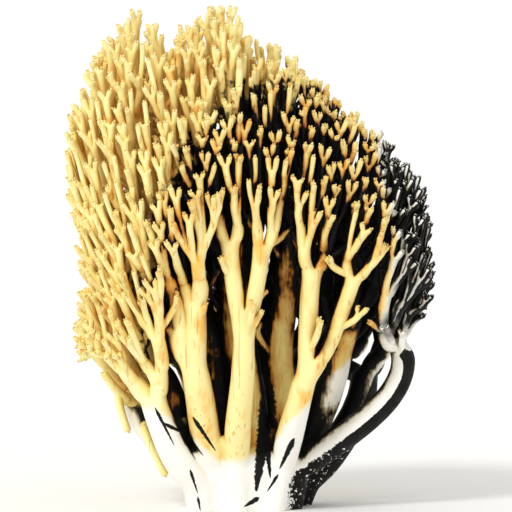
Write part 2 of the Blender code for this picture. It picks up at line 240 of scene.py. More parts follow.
# %% Limbs and their share of the tips
LIMBS = {
    "front_left_limb": ((-13.5, -12.5, 22), (-0.25, -0.6, 1), (-17, -22, 44), (-25, -36, 106)),
    "front_centre_limb": ((-4, -16, 23), (-0.05, -0.6, 1), (-2, -25, 50), (1, -42, 118)),
    "front_right_limb": ((12, -14, 22), (0.25, -0.6, 1), (17, -22, 42), (27, -36, 108)),
    "right_limb": ((21, -4, 17), (1, -0.1, 0.4), (49, -5, 50), (58, -4, 84)),
    "left_limb": ((-21.4, -6.2, 22), (-0.6, -0.35, 0.9), (-28, -9, 43), (-54, -8, 92)),
    "lower_left_limb": ((-20, 5.5, 15), (-1, 0, 0.5), (-37, 4, 34), (-54, 6, 60)),
    "lower_front_left_limb": ((-21, -14, 14), (-0.7, -0.5, 0.6), (-30, -18, 34), (-42, -26, 62)),
    "upper_left_limb": ((-11, -3, 26), (0, -0.2, 1), (-14, -3, 60), (-42, -2, 138)),
    "centre_limb": ((0, -6, 27), (-0.05, -0.3, 1), (-6, -9, 66), (-12, -14, 148)),
    "centre_right_limb": ((11, -3, 26), (-0.1, -0.2, 1), (10, -7, 56), (18, -16, 134)),
    "upper_right_limb": ((19, 6, 22), (0.6, 0.1, 1), (28, 0, 46), (46, -4, 108)),
    "back_left_limb": ((-12, 13, 22), (-0.3, 0.5, 1), (-18, 18, 44), (-34, 32, 108)),
    "back_centre_limb": ((0, 17.5, 23), (0.1, 0.6, 1), (4, 24, 48), (0, 42, 110)),
    "back_right_limb": ((12, 15, 22), (0.3, 0.6, 1), (19, 19, 40), (34, 32, 98)),
    "lower_back_right_limb": ((23, 12, 13), (1, 0.3, 0.6), (37, 15, 40), (50, 20, 70)),
    "back_top_limb": ((0, 6, 27), (-0.1, 0.2, 1), (-4, 13, 62), (-12, 20, 144)),
}


def shared_out(tips):
    """The tips that each limb carries: those nearer to its own part of the crown than to another's."""
    middles = {name: Vector(middle) for name, (_, _, _, middle) in LIMBS.items()}
    shares = {name: [] for name in LIMBS}
    for tip in tips:
        nearest = min(middles, key=lambda name: (middles[name] - tip[0]).length)
        shares[nearest].append(tip)
    return shares


shares = shared_out(tips)
print("tips on each limb:", {name: len(share) for name, share in shares.items()})

# %% [markdown]
# A branch is a curve with a fork or a tip at its end. The curve is a Hermite one: it is given by its two
# ends and the way it points at each, so it leaves a fork in line with the branch below. Thickness follows
# the old pipe rule of trees: the more tips a branch feeds, the thicker it is.

# %% A branch
TWIG_RADIUS = 0.78
PIPE_POWER = 2.3
NEARBY = 0.02


class Branch:
    """A curved stretch that ends in a fork, or in a tip if it carries no more branches."""

    def __init__(self, end, aim, count, children):
        self.end = end
        self.aim = aim
        self.count = count
        self.children = children
        self.before = None
        self.thick = TWIG_RADIUS * count ** (1 / PIPE_POWER)
        for child in children:
            child.before = self

    def all_of_it(self):
        found = [self]
        for child in self.children:
            found += child.all_of_it()
        return found

    def settle(self):
        """Works the curve out again from where its two ends are now."""
        self.start = self.before.end
        chord = self.end - self.start
        self.length = chord.length
        self.leaving = (self.before.aim + chord.normalized()).normalized() * self.length
        self.arriving = self.aim * self.length

    def point(self, t):
        return (
            self.start * (2 * t**3 - 3 * t**2 + 1)
            + self.leaving * (t**3 - 2 * t**2 + t)
            + self.end * (3 * t**2 - 2 * t**3)
            + self.arriving * (t**3 - t**2)
        )

    def tangent(self, t):
        return (self.point(min(1, t + NEARBY)) - self.point(max(0, t - NEARBY))).normalized()


class LimbBase:
    """Where a limb or a side twig starts, and the way it leaves."""

    def __init__(self, end, aim):
        self.end = end
        self.aim = aim


def mean(vectors):
    return sum(vectors, Vector()) / len(vectors)


example = Branch(None, None, 20, [])
print("a branch that feeds", example.count, "tips has a radius of", round(example.thick, 1), "mm")

# %% [markdown]
# The forks are found from the tips down. A group of tips is halved across its longest spread, each half
# becomes a branch, and the fork goes below both, far enough for the two prongs to come apart without a wide
# angle.

# %% Branches gathered from the tips down
SPLIT_RANGE = (0.38, 0.62)
SHORTEST_TWIG = 3.0
LENGTH_PER_RADIUS = 1.7
WIDEST_FORK = 1.15
FORK_DROP_RANGE = (1.0, 1.18)
FORK_PULL = 0.045
LEAST_DROP = 1.5
FLOOR_STEP = 5.5


def halves(tips, aim, source):
    """The tips in two groups, parted across their longest spread seen along the branch."""
    centre = mean([place for place, _ in tips])
    flat = np.array([(place - centre) - aim * (place - centre).dot(aim) for place, _ in tips])
    axis = np.linalg.svd(flat)[2][0]
    order = np.argsort(flat @ axis)
    cut = max(1, min(len(tips) - 1, round(len(tips) * source.uniform(*SPLIT_RANGE))))
    return [tips[i] for i in order[:cut]], [tips[i] for i in order[cut:]]


def gathered(tips, fork, floor, source):
    """The branches that carry these tips, found from the tips down, with no fork below the floor."""
    if len(tips) == 1:
        return Branch(tips[0][0], tips[0][1], 1, [])
    aim = mean([direction for _, direction in tips]).normalized()
    parts = [gathered(part, fork, floor + FLOOR_STEP, source) for part in halves(tips, aim, source)]
    middle = mean([part.end for part in parts])
    aim = (aim + (middle - fork).normalized() * FORK_PULL * len(tips)).normalized()
    drop = 0
    for part in parts:
        off = part.end - middle
        along = off.dot(aim)
        across = (off - aim * along).length
        shortest = SHORTEST_TWIG + LENGTH_PER_RADIUS * part.thick
        drop = max(drop, max(shortest, across / WIDEST_FORK) - along)
    drop = min(drop * source.uniform(*FORK_DROP_RANGE), (middle.z - floor) / aim.z)
    return Branch(middle - aim * max(LEAST_DROP, drop), aim, len(tips), parts)


def limb_trees():
    """The lowest branch of every limb, by name."""
    limbs = {}
    for name, (base, leaving, fork, _) in LIMBS.items():
        source = random.Random(f"{SEED} {name}")
        limb = gathered(shares[name], Vector(fork), fork[2], source)
        limb.end = Vector(fork)
        limb.before = LimbBase(Vector(base), Vector(leaving).normalized())
        limbs[name] = limb
    return limbs


def every_branch():
    """All branches of all limbs, limb by limb."""
    return [branch for limb in limbs.values() for branch in limb.all_of_it()]


limbs = limb_trees()
print(len(every_branch()), "branches on", len(limbs), "limbs")

# %% [markdown]
# Branches that grow side by side push each other away. Points along every branch are put in a k-d tree,
# which finds near neighbours fast, and each pair that is too close moves a little apart. Ten small rounds
# are enough.

# %% Room between branches
CLEARANCE = 0.7
EASING_ROUNDS = 10
EASING_STEP = 0.5
EASING_SHARES = (0.3, 0.55, 0.8, 1.0)


def ease_apart(branches):
    """Moves forks and tips a little at a time, until branches that do not meet no longer touch."""
    widest = max(branch.thick for branch in branches)
    for _ in range(EASING_ROUNDS):
        for branch in branches:
            branch.settle()
        samples = [(branch, t, branch.point(t)) for branch in branches for t in EASING_SHARES]
        near = kdtree.KDTree(len(samples))
        for i, (_, _, place) in enumerate(samples):
            near.insert(place, i)
        near.balance()
        moves = {branch: Vector() for branch in branches}
        for i, (one, t, place) in enumerate(samples):
            for _, j, distance in near.find_range(place, one.thick + widest + CLEARANCE):
                other, u, other_place = samples[j]
                short = one.thick + other.thick + CLEARANCE - distance
                meet = one is other or one.before in (other, other.before) or other.before is one
                if j <= i or short <= 0 or meet:
                    continue
                push = (place - other_place).normalized() * short / 2 * EASING_STEP
                for branch, share, way in ((one, t, push), (other, u, -push)):
                    moves[branch] += way * share
                    if branch.before in moves:
                        moves[branch.before] += way * (1 - share)
        for branch, move in moves.items():
            branch.end = branch.end + move
    for branch in branches:
        branch.settle()


ease_apart(every_branch())
print("the longest branch is", round(max(branch.length for branch in every_branch())), "mm long")

# %% [markdown]
# In the drawing the outermost twigs are finer and longer than the tips that the solids gather. So the last
# forks slide some way down their branches, which makes the twigs above them long and nearly parallel. Each
# twig also leaves its fork sideways and then turns up, because a coral fungus forks like a U more than like
# a V.

# %% Long twigs above round forks
TWIG_COUNT = 11
SLID_COUNT = 5
SLIDE = (0.35, 0.6)
FORK_ROUNDNESS = 0.55

twig_source = random.Random(SEED)


def slide_down(branch):
    """Slides the forks of slender branches down along them, and the twigs above grow longer by that."""
    if 1 < branch.count <= SLID_COUNT:
        share = 1 - twig_source.uniform(*SLIDE)
        branch.end, branch.aim = branch.point(share), branch.tangent(share)
        branch.settle()
    for child in branch.children:
        child.settle()
        slide_down(child)


def round_fork(branch):
    """Makes a slender branch leave its fork sideways and then turn up."""
    chord = branch.end - branch.start
    sideways = chord - branch.before.aim * chord.dot(branch.before.aim)
    leaving = branch.leaving.normalized() + sideways.normalized() * FORK_ROUNDNESS
    branch.leaving = leaving.normalized() * branch.length


print("branches that feed at most", SLID_COUNT, "tips fork lower down than in the solids")

# %% [markdown]
# Most tips end in two prongs. A tip gives up the last few millimetres of its length and puts out its prongs
# there, a little apart and uneven, on a stalk that is stouter than either. The branches between limb and
# twig grow a little stouter too, since in the drawing they stay broad nearly up to the tips.

# %% Prongs at the tips
PRONG_THICK = 1.12
STALK_THICK = 1.42
PRONG_LENGTH = (4.2, 7.0)
PRONG_SPREAD = (1.25, 1.8)
PRONG_LEAN = 0.05
PRONG_DROP = (0.8, 3.2)
PRONGED_SHARE = 0.85
LEAST_STALK = 0.3
STOUT_COUNTS = range(2, 45)
STOUTER = 1.14


def sideways(aim):
    """Some direction square to aim, drawn by lot."""
    turn = twig_source.uniform(0, math.tau)
    across = aim.orthogonal().normalized()
    return across * math.cos(turn) + aim.cross(across) * math.sin(turn)


def fork_tip(twig):
    """Turns the end of a twig into a fork of two prongs that reach where the twig did."""
    length = min(twig_source.uniform(*PRONG_LENGTH), twig.length * (1 - LEAST_STALK))
    side = sideways(twig.aim)
    old_end = twig.end
    share = 1 - length / twig.length
    twig.end, twig.aim = twig.point(share), twig.tangent(share)
    twig.thick = TWIG_RADIUS * STALK_THICK
    for way in (side, -side):
        spread, drop = twig_source.uniform(*PRONG_SPREAD), twig_source.uniform(*PRONG_DROP)
        end = old_end + way * spread - twig.aim * drop
        prong = Branch(end, (twig.aim + way * PRONG_LEAN).normalized(), 1, [])
        prong.thick = TWIG_RADIUS * PRONG_THICK
        prong.before = twig
        twig.children.append(prong)
    twig.settle()
    for prong in twig.children:
        prong.settle()


for limb in limbs.values():
    slide_down(limb)
    for branch in limb.all_of_it():
        if branch.count in STOUT_COUNTS:
            branch.thick *= STOUTER
    for branch in limb.all_of_it():
        if not branch.children and twig_source.random() < PRONGED_SHARE:
            fork_tip(branch)
    for branch in limb.all_of_it():
        if branch.count <= TWIG_COUNT:
            round_fork(branch)
print(sum(not branch.children for branch in every_branch()), "ends of twigs")

# %% [markdown]
# Between the limbs a real coral fungus is not hollow: small forked twigs stand there that never reached the
# light. Each one here grows from the middle of a stouter branch, tries several directions and takes the one
# with the most room. The formula for the crown's surface tells which ends would still lie inside it.

# %% The roomiest way for a side twig
INSIDE_SHARE = 0.86
SIDE_TRIES = 10
SIDE_RISE = 0.86
SIDE_REACH = 0.5
SIDE_LOWEST = 60
SIDE_MIDDLE = 0.6
MIDDLE_EASE = 1


def inside_crown(point):
    """Whether a point lies well inside the crown's surface."""
    x, z = point.x - CROWN_MIDDLE[0], point.z - CROWN_MIDDLE[1]
    angle = math.atan2(z, x)
    if angle < -math.pi / 2:
        angle += math.tau
    reach = math.hypot(x, z) / outline_radius(angle)
    if reach > INSIDE_SHARE:
        return False
    return abs(point.y - CROWN_DEPTH_OFFSET) < half_depth(reach) * INSIDE_SHARE


def roomiest(start, tangent, length, room):
    """The end with the most room that a side twig can reach, with its direction and that room."""
    best = None
    for _ in range(SIDE_TRIES):
        side = sideways(tangent)
        end = start + (tangent * SIDE_RISE + side * SIDE_REACH) * length
        if inside_crown(end) and end.z > SIDE_LOWEST:
            space = min(room(end), room(start.lerp(end, SIDE_MIDDLE)) + MIDDLE_EASE)
            if best is None or space > best[2]:
                best = end, side, space
    return best


inner = sum(inside_crown(branch.end) for branch in every_branch())
print(inner, "ends of branches lie well inside the crown")

# %% [markdown]
# The side twigs are planted limb by limb. Each new one counts as an obstacle for those that follow, so they
# find the gaps by themselves, and one that finds no room is left out. None may reach past the nearest tip
# of its branch, so the crown keeps its outline.

# %% Side twigs inside the crown
SIDE_CARRIER = 3
SIDE_EVERY = 9
SIDE_LENGTH = (9, 19)
SIDE_START = (0.15, 0.95)
SIDE_ROOM = 2.3
SIDE_SAMPLES = (0.25, 0.5, 0.75, 1.0)


def find_distances(branch):
    """Notes how far the end of every branch is from the nearest tip."""
    for child in branch.children:
        find_distances(child)
    branch.beyond = min((child.length + child.beyond for child in branch.children), default=0)


def side_twigs():
    """Forked twigs in the gaps of the crown, by limb."""
    branches = every_branch()
    near = kdtree.KDTree(len(branches) * len(SIDE_SAMPLES))
    for i, branch in enumerate(branches):
        for j, t in enumerate(SIDE_SAMPLES):
            near.insert(branch.point(t), i * len(SIDE_SAMPLES) + j)
    near.balance()
    ends = []

    def room(point):
        return min([near.find(point)[2]] + [(point - end).length for end in ends])

    grown = {}
    for name, limb in limbs.items():
        find_distances(limb)
        grown[name] = []
        for branch in limb.all_of_it():
            if branch.count < SIDE_CARRIER:
                continue
            for _ in range(round(branch.length / SIDE_EVERY)):
                t = twig_source.uniform(*SIDE_START)
                length = min(twig_source.uniform(*SIDE_LENGTH), branch.length * (1 - t) + branch.beyond)
                found = roomiest(branch.point(t), branch.tangent(t), length, room)
                if not found or found[2] < SIDE_ROOM:
                    continue
                end, side, _ = found
                aim = (branch.tangent(t) + Vector((0, 0, 1))).normalized()
                twig = Branch(end, aim, 1, [])
                twig.before = LimbBase(branch.point(t), (branch.tangent(t) + side).normalized())
                twig.settle()
                fork_tip(twig)
                ends += [twig.point(share) for share in SIDE_SAMPLES]
                grown[name].append(twig)
    return grown


side_shoots = side_twigs()
print(sum(len(twigs) for twigs in side_shoots.values()), "side twigs inside the crown")

# %% [markdown]
# Now the skin. Metaballs or a voxel remesh would melt neighbouring twigs together, so the skin is lofted
# instead: rings of corners are carried along each branch and joined by faces. Stout branches get twelve
# corners a ring and twigs six. A subdivision surface shrinks such a cage, so each ring is drawn out by the
# amount that it shrinks.

# %% Rings of corners
LIMB_SIDES = 12
TWIG_SIDES = 6
LIMB_STEP = 3.0
TWIG_STEP = 2.4


def turned(frame, tangent):
    """The frame, two directions across a branch, carried on square to a new tangent."""
    first = (frame[0] - tangent * frame[0].dot(tangent)).normalized()
    return first, tangent.cross(first)


def spun(frame, angle):
    """The frame turned about the branch by an angle."""
    first = frame[0] * math.cos(angle) + frame[1] * math.sin(angle)
    return first, frame[1] * math.cos(angle) - frame[0] * math.sin(angle)


def across_at(frame, turn):
    """The direction from the middle of a branch to a corner that stands at a share of a full turn."""
    angle = math.tau * turn
    return frame[0] * math.cos(angle) + frame[1] * math.sin(angle)


def sides_of(branch):
    """How many corners the rings of a branch have."""
    return LIMB_SIDES if branch.count > TWIG_COUNT else TWIG_SIDES


def step_of(branch):
    """How far apart the rings of a branch are."""
    return LIMB_STEP if branch.count > TWIG_COUNT else TWIG_STEP


class Skin:
    """The corners and faces of a piece, and what its material needs to know about each corner."""

    def __init__(self):
        self.corners = []
        self.faces = []
        self.girth = []
        self.to_tip = []
        self.tips = []

    def corner(self, place, girth, to_tip):
        self.corners.append(place)
        self.girth.append(girth)
        self.to_tip.append(to_tip)
        return len(self.corners) - 1

    def ring(self, middle, frame, sides, reach, girth, to_tip):
        """Corners round a point, each as far out as reach says for its direction."""
        cage = 3 / (2 + math.cos(math.tau / sides))
        ways = [across_at(frame, k / sides) for k in range(sides)]
        return [self.corner(middle + way * reach(way) * cage, girth, to_tip) for way in ways]

    def join(self, lower, upper):
        """Faces between two rings. Where the upper has half as many corners, a face takes in three below."""
        sides = len(upper)
        if len(lower) == sides:
            for k in range(sides):
                after = (k + 1) % sides
                self.faces.append((lower[k], lower[after], upper[after], upper[k]))
            return
        for k in range(sides):
            after = (k + 1) % sides
            below = lower[2 * k], lower[2 * k + 1], lower[(2 * k + 2) % len(lower)]
            self.faces.append((*below, upper[after], upper[k]))

    def fan(self, ring, middle):
        """Faces that close a ring round one corner in its middle."""
        for k, corner in enumerate(ring):
            self.faces.append((corner, ring[(k + 1) % len(ring)], middle))


print("twigs have", TWIG_SIDES, "corners a ring and limbs", LIMB_SIDES)

# %% [markdown]
# A fork is the one place where a ring cannot simply be carried on. First it has to be known how far on its
# two prongs come apart, and which way they part. A branch then turns its rings a little on the way up, so
# that they reach the fork with a corner in line with it, and no face is twisted.

# %% How a fork parts
FRAME_STEPS = 12
PARTING_STEP = 0.25
MOST_PALM = 0.6


def parting(left, right):
    """How far along its two branches a fork comes apart."""
    shorter = min(left.length, right.length)
    distance = 0
    while distance < MOST_PALM * shorter:
        distance += PARTING_STEP
        a, b = distance / left.length, distance / right.length
        if (left.point(a) - right.point(b)).length > left.thick + right.thick:
            break
    return distance


def fork_plane(branch):
    """How far on a fork parts, and the directions across it: from prong to prong, and through the palm."""
    left, right = branch.children
    distance = parting(left, right)
    tangent = branch.tangent(1)
    apart = left.point(distance / left.length) - right.point(distance / right.length)
    wide = (apart - tangent * apart.dot(tangent)).normalized()
    return distance, wide, tangent.cross(wide)


def twist_to_fork(branch, frame, begun, deep, sides):
    """The small turn that brings a corner of the ring in line with the palm at the branch's end."""
    for i in range(FRAME_STEPS + 1):
        frame = turned(frame, branch.tangent(begun + (1 - begun) * i / FRAME_STEPS))
    angle = math.atan2(deep.dot(frame[1]), deep.dot(frame[0]))
    between = math.tau / sides
    return (angle + between / 2) % between - between / 2


print("the first fork in front comes apart after", fork_plane(limbs["front_centre_limb"])[0], "mm")

# %% [markdown]
# A stretch of branch is a row of rings, as far apart as the branch is fine, and its thickness is the girth
# of the branch all the way up. At a free end the last ring flares a little and is closed nearly flat,
# because these tips look cut off, not pointed.

# %% Stretches and tips
PALM_SHARE = 0.75
TIP_FLARE = 1.12
TIP_CROWN = 0.62


def skin_branch(skin, branch, ring, frame, begun, flare=1.0):
    """Carries a ring along a branch from the share begun of its length, and then forks or closes it."""
    sides = len(ring)
    palm = fork_plane(branch) if branch.children else None
    twist = twist_to_fork(branch, frame, begun, palm[2], sides) if palm else 0
    step = step_of(branch)
    steps = math.ceil(branch.length * (1 - begun) / step - 0.5)
    last = steps if not palm or palm[0] * PALM_SHARE > step / 2 else steps - 1
    spin = 0
    for i in range(1, last + 1):
        share = i / steps
        t = begun + (1 - begun) * share
        frame = turned(frame, branch.tangent(t))
        spin = twist * share
        radius = branch.thick * (flare + (1 - flare) * t)
        if not palm and i == last:
            radius *= TIP_FLARE
        to_tip = branch.length * (1 - t) + branch.beyond
        across = spun(frame, spin)
        upper = skin.ring(branch.point(t), across, sides, lambda way: radius, branch.thick, to_tip)
        skin.join(ring, upper)
        ring = upper
    frame = spun(turned(frame, branch.tangent(1)), spin)
    if palm:
        skin_fork(skin, branch, ring, frame, palm)
    else:
        skin_tip(skin, branch, ring, frame)


def skin_tip(skin, branch, ring, frame):
    """Closes a prong with a blunt, nearly flat end."""
    inner = skin.ring(branch.end, frame, len(ring), lambda way: branch.thick * TIP_CROWN, branch.thick, 0)
    skin.join(ring, inner)
    middle = skin.corner(branch.end, branch.thick, 0)
    skin.fan(inner, middle)
    skin.tips.append((middle, branch.tangent(1)))


print("a tip flares to", TIP_FLARE, "times its twig and closes from", TIP_CROWN, "of it")

# %% [markdown]
# At a fork the branch widens into a flat palm, as broad as both prongs together. A line of corners across
# the palm then makes the saddle between them. On each side of it, half the palm's ring and the saddle
# together form the first ring of a prong, so the skin stays closed without any Boolean.

# %% Forks
SADDLE_RISE = 0.2


def skin_fork(skin, branch, ring, frame, palm):
    """Widens a branch into a palm as broad as its two prongs, and parts the palm into one ring for each."""
    left, right = branch.children
    distance, wide, deep = palm
    sides = len(ring)
    first = max(range(sides), key=lambda k: across_at(frame, k / sides).dot(deep))
    ring = ring[first:] + ring[:first]
    prong_radius = (left.thick + right.thick) / 2
    steps = max(1, round(distance * PALM_SHARE / step_of(branch)))
    for i in range(1, steps + 1):
        low = distance * PALM_SHARE * i / steps
        places = left.point(low / left.length), right.point(low / right.length)
        deep_reach = branch.thick + (prong_radius - branch.thick) * i / steps
        wide_reach = max(deep_reach, prong_radius + (places[0] - places[1]).length / 2)
        upper = skin.ring(
            mean(places), (deep, -wide), sides,
            lambda way: math.hypot(deep_reach * way.dot(deep), wide_reach * way.dot(wide)),
            branch.thick, branch.beyond - low,
        )
        skin.join(ring, upper)
        ring = upper
    half = sides // 2
    saddle = []
    for k in range(1, half):
        place = skin.corners[ring[0]].lerp(skin.corners[ring[half]], k / half)
        rise = SADDLE_RISE * prong_radius * math.sin(math.pi * k / half)
        saddle.append(skin.corner(place + branch.tangent(1) * rise, branch.thick, branch.beyond - low))
    loops = ring[half:] + ring[:1] + saddle, ring[: half + 1] + saddle[::-1]
    for child, loop, out in ((left, loops[0], wide), (right, loops[1], -wide)):
        begun = distance / child.length
        along = child.tangent(begun)
        second = (out - along * out.dot(along)).normalized()
        prong = second.cross(along), second
        to_tip = child.length - distance + child.beyond
        upper = skin.ring(
            child.point(begun), prong, sides_of(child), lambda way: child.thick, child.thick, to_tip
        )
        skin.join(loop, upper)
        skin_branch(skin, child, upper, prong, begun)


forks = sum(bool(branch.children) for branch in every_branch())
print(forks, "forks to be skinned")

# %% [markdown]
# Each limb starts a few millimetres down inside the stem, where nobody sees its open end closed off, and
# swells to its full width as it comes out. From there the rings climb by themselves, fork after fork, to
# the tips.

# %% Skins of the limbs
LIMB_FLARE = 1.2
LIMB_SUNK = 4
SUNK_SHARE = 0.8


def limb_frame(limb):
    """Directions across the base of a limb that come out in line with its first fork."""
    frame = fork_plane(limb)[2], None
    for i in range(FRAME_STEPS, -1, -1):
        frame = turned(frame, limb.tangent(i / FRAME_STEPS))
    return frame


def limb_skin(limb):
    """A limb as one closed skin, from its hidden foot to its blunt tips."""
    skin = Skin()
    find_distances(limb)
    frame = limb_frame(limb)
    radius = limb.thick * LIMB_FLARE
    far = limb.length + limb.beyond
    foot = limb.point(0) - limb.tangent(0) * LIMB_SUNK
    low = skin.ring(foot, frame, LIMB_SIDES, lambda way: radius * SUNK_SHARE, limb.thick, far)
    high = skin.ring(limb.point(0), frame, LIMB_SIDES, lambda way: radius, limb.thick, far)
    skin.fan(low[::-1], skin.corner(foot, limb.thick, far))
    skin.join(low, high)
    skin_branch(skin, limb, high, frame, 0, LIMB_FLARE)
    return skin


skins = {name: limb_skin(limb) for name, limb in limbs.items()}
print(sum(len(skin.tips) for skin in skins.values()), "tips closed on", len(skins), "limbs")

# %% [markdown]
# The side twigs use the same rings and forks. A side twig is simply rooted in the middle of the branch that
# carries it, because its foot is hidden there and the renderer shows no seam between two matt surfaces.

# %% Skins of the side twigs
def add_side_twig(skin, twig):
    """A side twig, rooted in the middle of the branch that it grows from."""
    find_distances(twig)
    frame = limb_frame(twig)
    far = twig.length + twig.beyond
    root = skin.ring(twig.point(0), frame, TWIG_SIDES, lambda way: twig.thick, twig.thick, far)
    skin.fan(root[::-1], skin.corner(twig.point(0), twig.thick, far))
    skin_branch(skin, twig, root, frame, 0)


for name, twigs in side_shoots.items():
    for twig in twigs:
        add_side_twig(skins[name], twig)
print(sum(len(skin.tips) for skin in skins.values()), "tips with those of the side twigs")

# %% [markdown]
# Low on the left the drawing shows thin shoots that arch over and hang down. A curve of three points is
# enough for each of them: where it is rooted in its limb, which way it leans out, and where its free end
# hangs.

# %% Drooping shoots
SHOOTS_ON = "lower_left_limb"
SHOOTS = {
    "long_shoot": ((-34, 1, 30), (-47, -4, 45), (-39, -6, 25)),
    "long_shoot_prong": ((-39, -2, 34), (-43, -4, 38), (-47, -6, 44)),
    "short_shoot": ((-26, 4, 20), (-41, -4, 38), (-27, -7, 11)),
}
SHOOT_RADII = (1.9, 1.2)
SHOOT_STEP = 2.0


def add_shoot(skin, points):
    """A thin side shoot, bent from its root towards the second point and on to its free end."""
    root, lean, tip = (Vector(point) for point in points)
    length = (lean - root).length + (tip - lean).length
    steps = round(length / SHOOT_STEP)
    frame = Vector((0, 1, 0)), None
    ring = None
    for i in range(steps + 1):
        t = i / steps
        place = root * (1 - t) ** 2 + lean * 2 * t * (1 - t) + tip * t**2
        tangent = ((lean - root) * (1 - t) + (tip - lean) * t).normalized()
        frame = turned(frame, tangent)
        radius = SHOOT_RADII[0] + (SHOOT_RADII[1] - SHOOT_RADII[0]) * t
        upper = skin.ring(place, frame, TWIG_SIDES, lambda way: radius, radius, length * (1 - t))
        if ring:
            skin.join(ring, upper)
        else:
            skin.fan(upper[::-1], skin.corner(place, radius, length))
        ring = upper
    inner = skin.ring(tip, frame, TWIG_SIDES, lambda way: radius * TIP_CROWN, radius, 0)
    skin.join(ring, inner)
    middle = skin.corner(tip, radius, 0)
    skin.fan(inner, middle)
    skin.tips.append((middle, tangent))


for points in SHOOTS.values():
    add_shoot(skins[SHOOTS_ON], points)
print(sum(len(skin.faces) for skin in skins.values()), "faces in the cages of the limbs")

# %% [markdown]
# The stem is stout, and the limbs run down into it like roots. Each root is a tube of its own: it starts
# near the middle of the stem's foot, meets the limb where that leaves the stem, and ends as a collar just
# under the limb's surface, so that no step shows between the two.

# %% Roots of the limbs
ROOT_SHARE = 0.62
ROOT_SHIFT = -1.5
ROOT_RADIUS = 4.4
ROOT_DEPTH = -6
STUB_LENGTH = 8
STUB_TAPER = 0.95
ROOT_SIDES = 16
ROOT_RINGS = 10
COLLAR_LENGTH = 9
COLLAR_BEGINS = 1.03
COLLAR_ENDS = 0.86


def bridge(bm, lower, upper):
    """Faces between two rings with the same number of corners."""
    for k in range(len(lower)):
        after = (k + 1) % len(lower)
        bm.faces.new((lower[k], lower[after], upper[after], upper[k]))


def root_tube(bm, limb):
    """The root of a limb. It rises from the foot of the stem and runs on under the limb's surface."""
    base, aim = limb.point(0), limb.tangent(0)
    radius = limb.thick * LIMB_FLARE
    bend = base - aim * STUB_LENGTH
    foot = Vector((base.x * ROOT_SHARE + ROOT_SHIFT, base.y * ROOT_SHARE, ROOT_DEPTH))
    stations = []
    for i in range(ROOT_RINGS + 1):
        t = i / ROOT_RINGS
        stations.append((foot.lerp(bend, t), ROOT_RADIUS + (radius * STUB_TAPER - ROOT_RADIUS) * t))
    stations.append((base, radius))
    for i in range(1, ROOT_RINGS + 1):
        along = COLLAR_LENGTH * i / ROOT_RINGS
        t = along / limb.length
        full = limb.thick * (LIMB_FLARE + (1 - LIMB_FLARE) * t)
        collar = COLLAR_BEGINS + (COLLAR_ENDS - COLLAR_BEGINS) * i / ROOT_RINGS
        stations.append((limb.point(t), full * collar))
    frame = limb_frame(limb)
    lower = None
    for i, (place, wide) in enumerate(stations):
        before, after = stations[max(0, i - 1)][0], stations[min(len(stations) - 1, i + 1)][0]
        frame = turned(frame, (after - before).normalized())
        upper = [bm.verts.new(place + across_at(frame, k / ROOT_SIDES) * wide) for k in range(ROOT_SIDES)]
        if lower:
            bridge(bm, lower, upper)
        else:
            bm.faces.new(upper[::-1])
        lower = upper
    bm.faces.new(lower)


print("each root has", 2 * ROOT_RINGS + 2, "rings of", ROOT_SIDES, "corners")

# %% [markdown]
# Between the roots the stem has a core, wider than deep and thickest below the first forks. Here melting
# together is just what is wanted, so core and roots are simply overlapped, and a voxel remesh turns them
# into one surface. A few rounds of smoothing soften the creases between the roots, and the ground cuts the
# stem off flat.

# %% The stem
STEM_RINGS = [
    (-4, (13.5, 12), (-2, 0)), (7, (15, 13.5), (-1, 0)), (13, (18, 15), (0, 0)), (18, (17, 14), (0, 0)),
    (23, (12, 11), (0, 1)), (26, (7, 7), (0, 1)),
]
STEM_SIDES = 32
VOXEL = 0.8
SMOOTHING = 4


def stem_core(bm):
    """The middle of the stem, a little wider than deep."""
    rings = []
    for height, (wide, deep), (x, y) in STEM_RINGS:
        turns = [math.tau * k / STEM_SIDES for k in range(STEM_SIDES)]
        places = [Vector((x + wide * math.cos(turn), y + deep * math.sin(turn), height)) for turn in turns]
        rings.append([bm.verts.new(place) for place in places])
    bm.faces.new(rings[0][::-1])
    for lower, upper in zip(rings, rings[1:]):
        bridge(bm, lower, upper)
    bm.faces.new(rings[-1])


def baked(piece):
    """The piece's mesh with its modifiers worked in, in place of the modifiers."""
    graph = bpy.context.evaluated_depsgraph_get()
    mesh = bpy.data.meshes.new_from_object(piece.evaluated_get(graph), depsgraph=graph)
    piece.modifiers.clear()
    piece.data = mesh
    mesh.name = piece.name
    return mesh


def melted_stem():
    """The core and the roots as one surface, cut off flat at the ground."""
    bm = bmesh.new()
    stem_core(bm)
    for limb in limbs.values():
        root_tube(bm, limb)
    bmesh.ops.scale(bm, vec=Vector((MM, MM, MM)), verts=bm.verts)
    mesh = bpy.data.meshes.new("stem_grown")
    bm.to_mesh(mesh)
    bm.free()
    stem = bpy.data.objects.new("stem_grown", mesh)
    bpy.context.scene.collection.objects.link(stem)
    melt = stem.modifiers.new("melt", "REMESH")
    melt.mode = "VOXEL"
    melt.voxel_size = VOXEL * MM
    soften = stem.modifiers.new("soften", "SMOOTH")
    soften.iterations = SMOOTHING
    baked(stem)
    bm = bmesh.new()
    bm.from_mesh(stem.data)
    everything = bm.verts[:] + bm.edges[:] + bm.faces[:]
    up = (0, 0, 1)
    cut = bmesh.ops.bisect_plane(bm, geom=everything, plane_co=(0, 0, 0), plane_no=up, clear_inner=True)
    edges = [part for part in cut["geom_cut"] if isinstance(part, bmesh.types.BMEdge)]
    bmesh.ops.triangle_fill(bm, edges=edges, use_beauty=True, normal=(0, 0, -1))
    bmesh.ops.recalc_face_normals(bm, faces=bm.faces[:])
    bm.to_mesh(stem.data)
    bm.free()
    return stem


stem = melted_stem()
print("the stem has", len(stem.data.polygons), "faces")

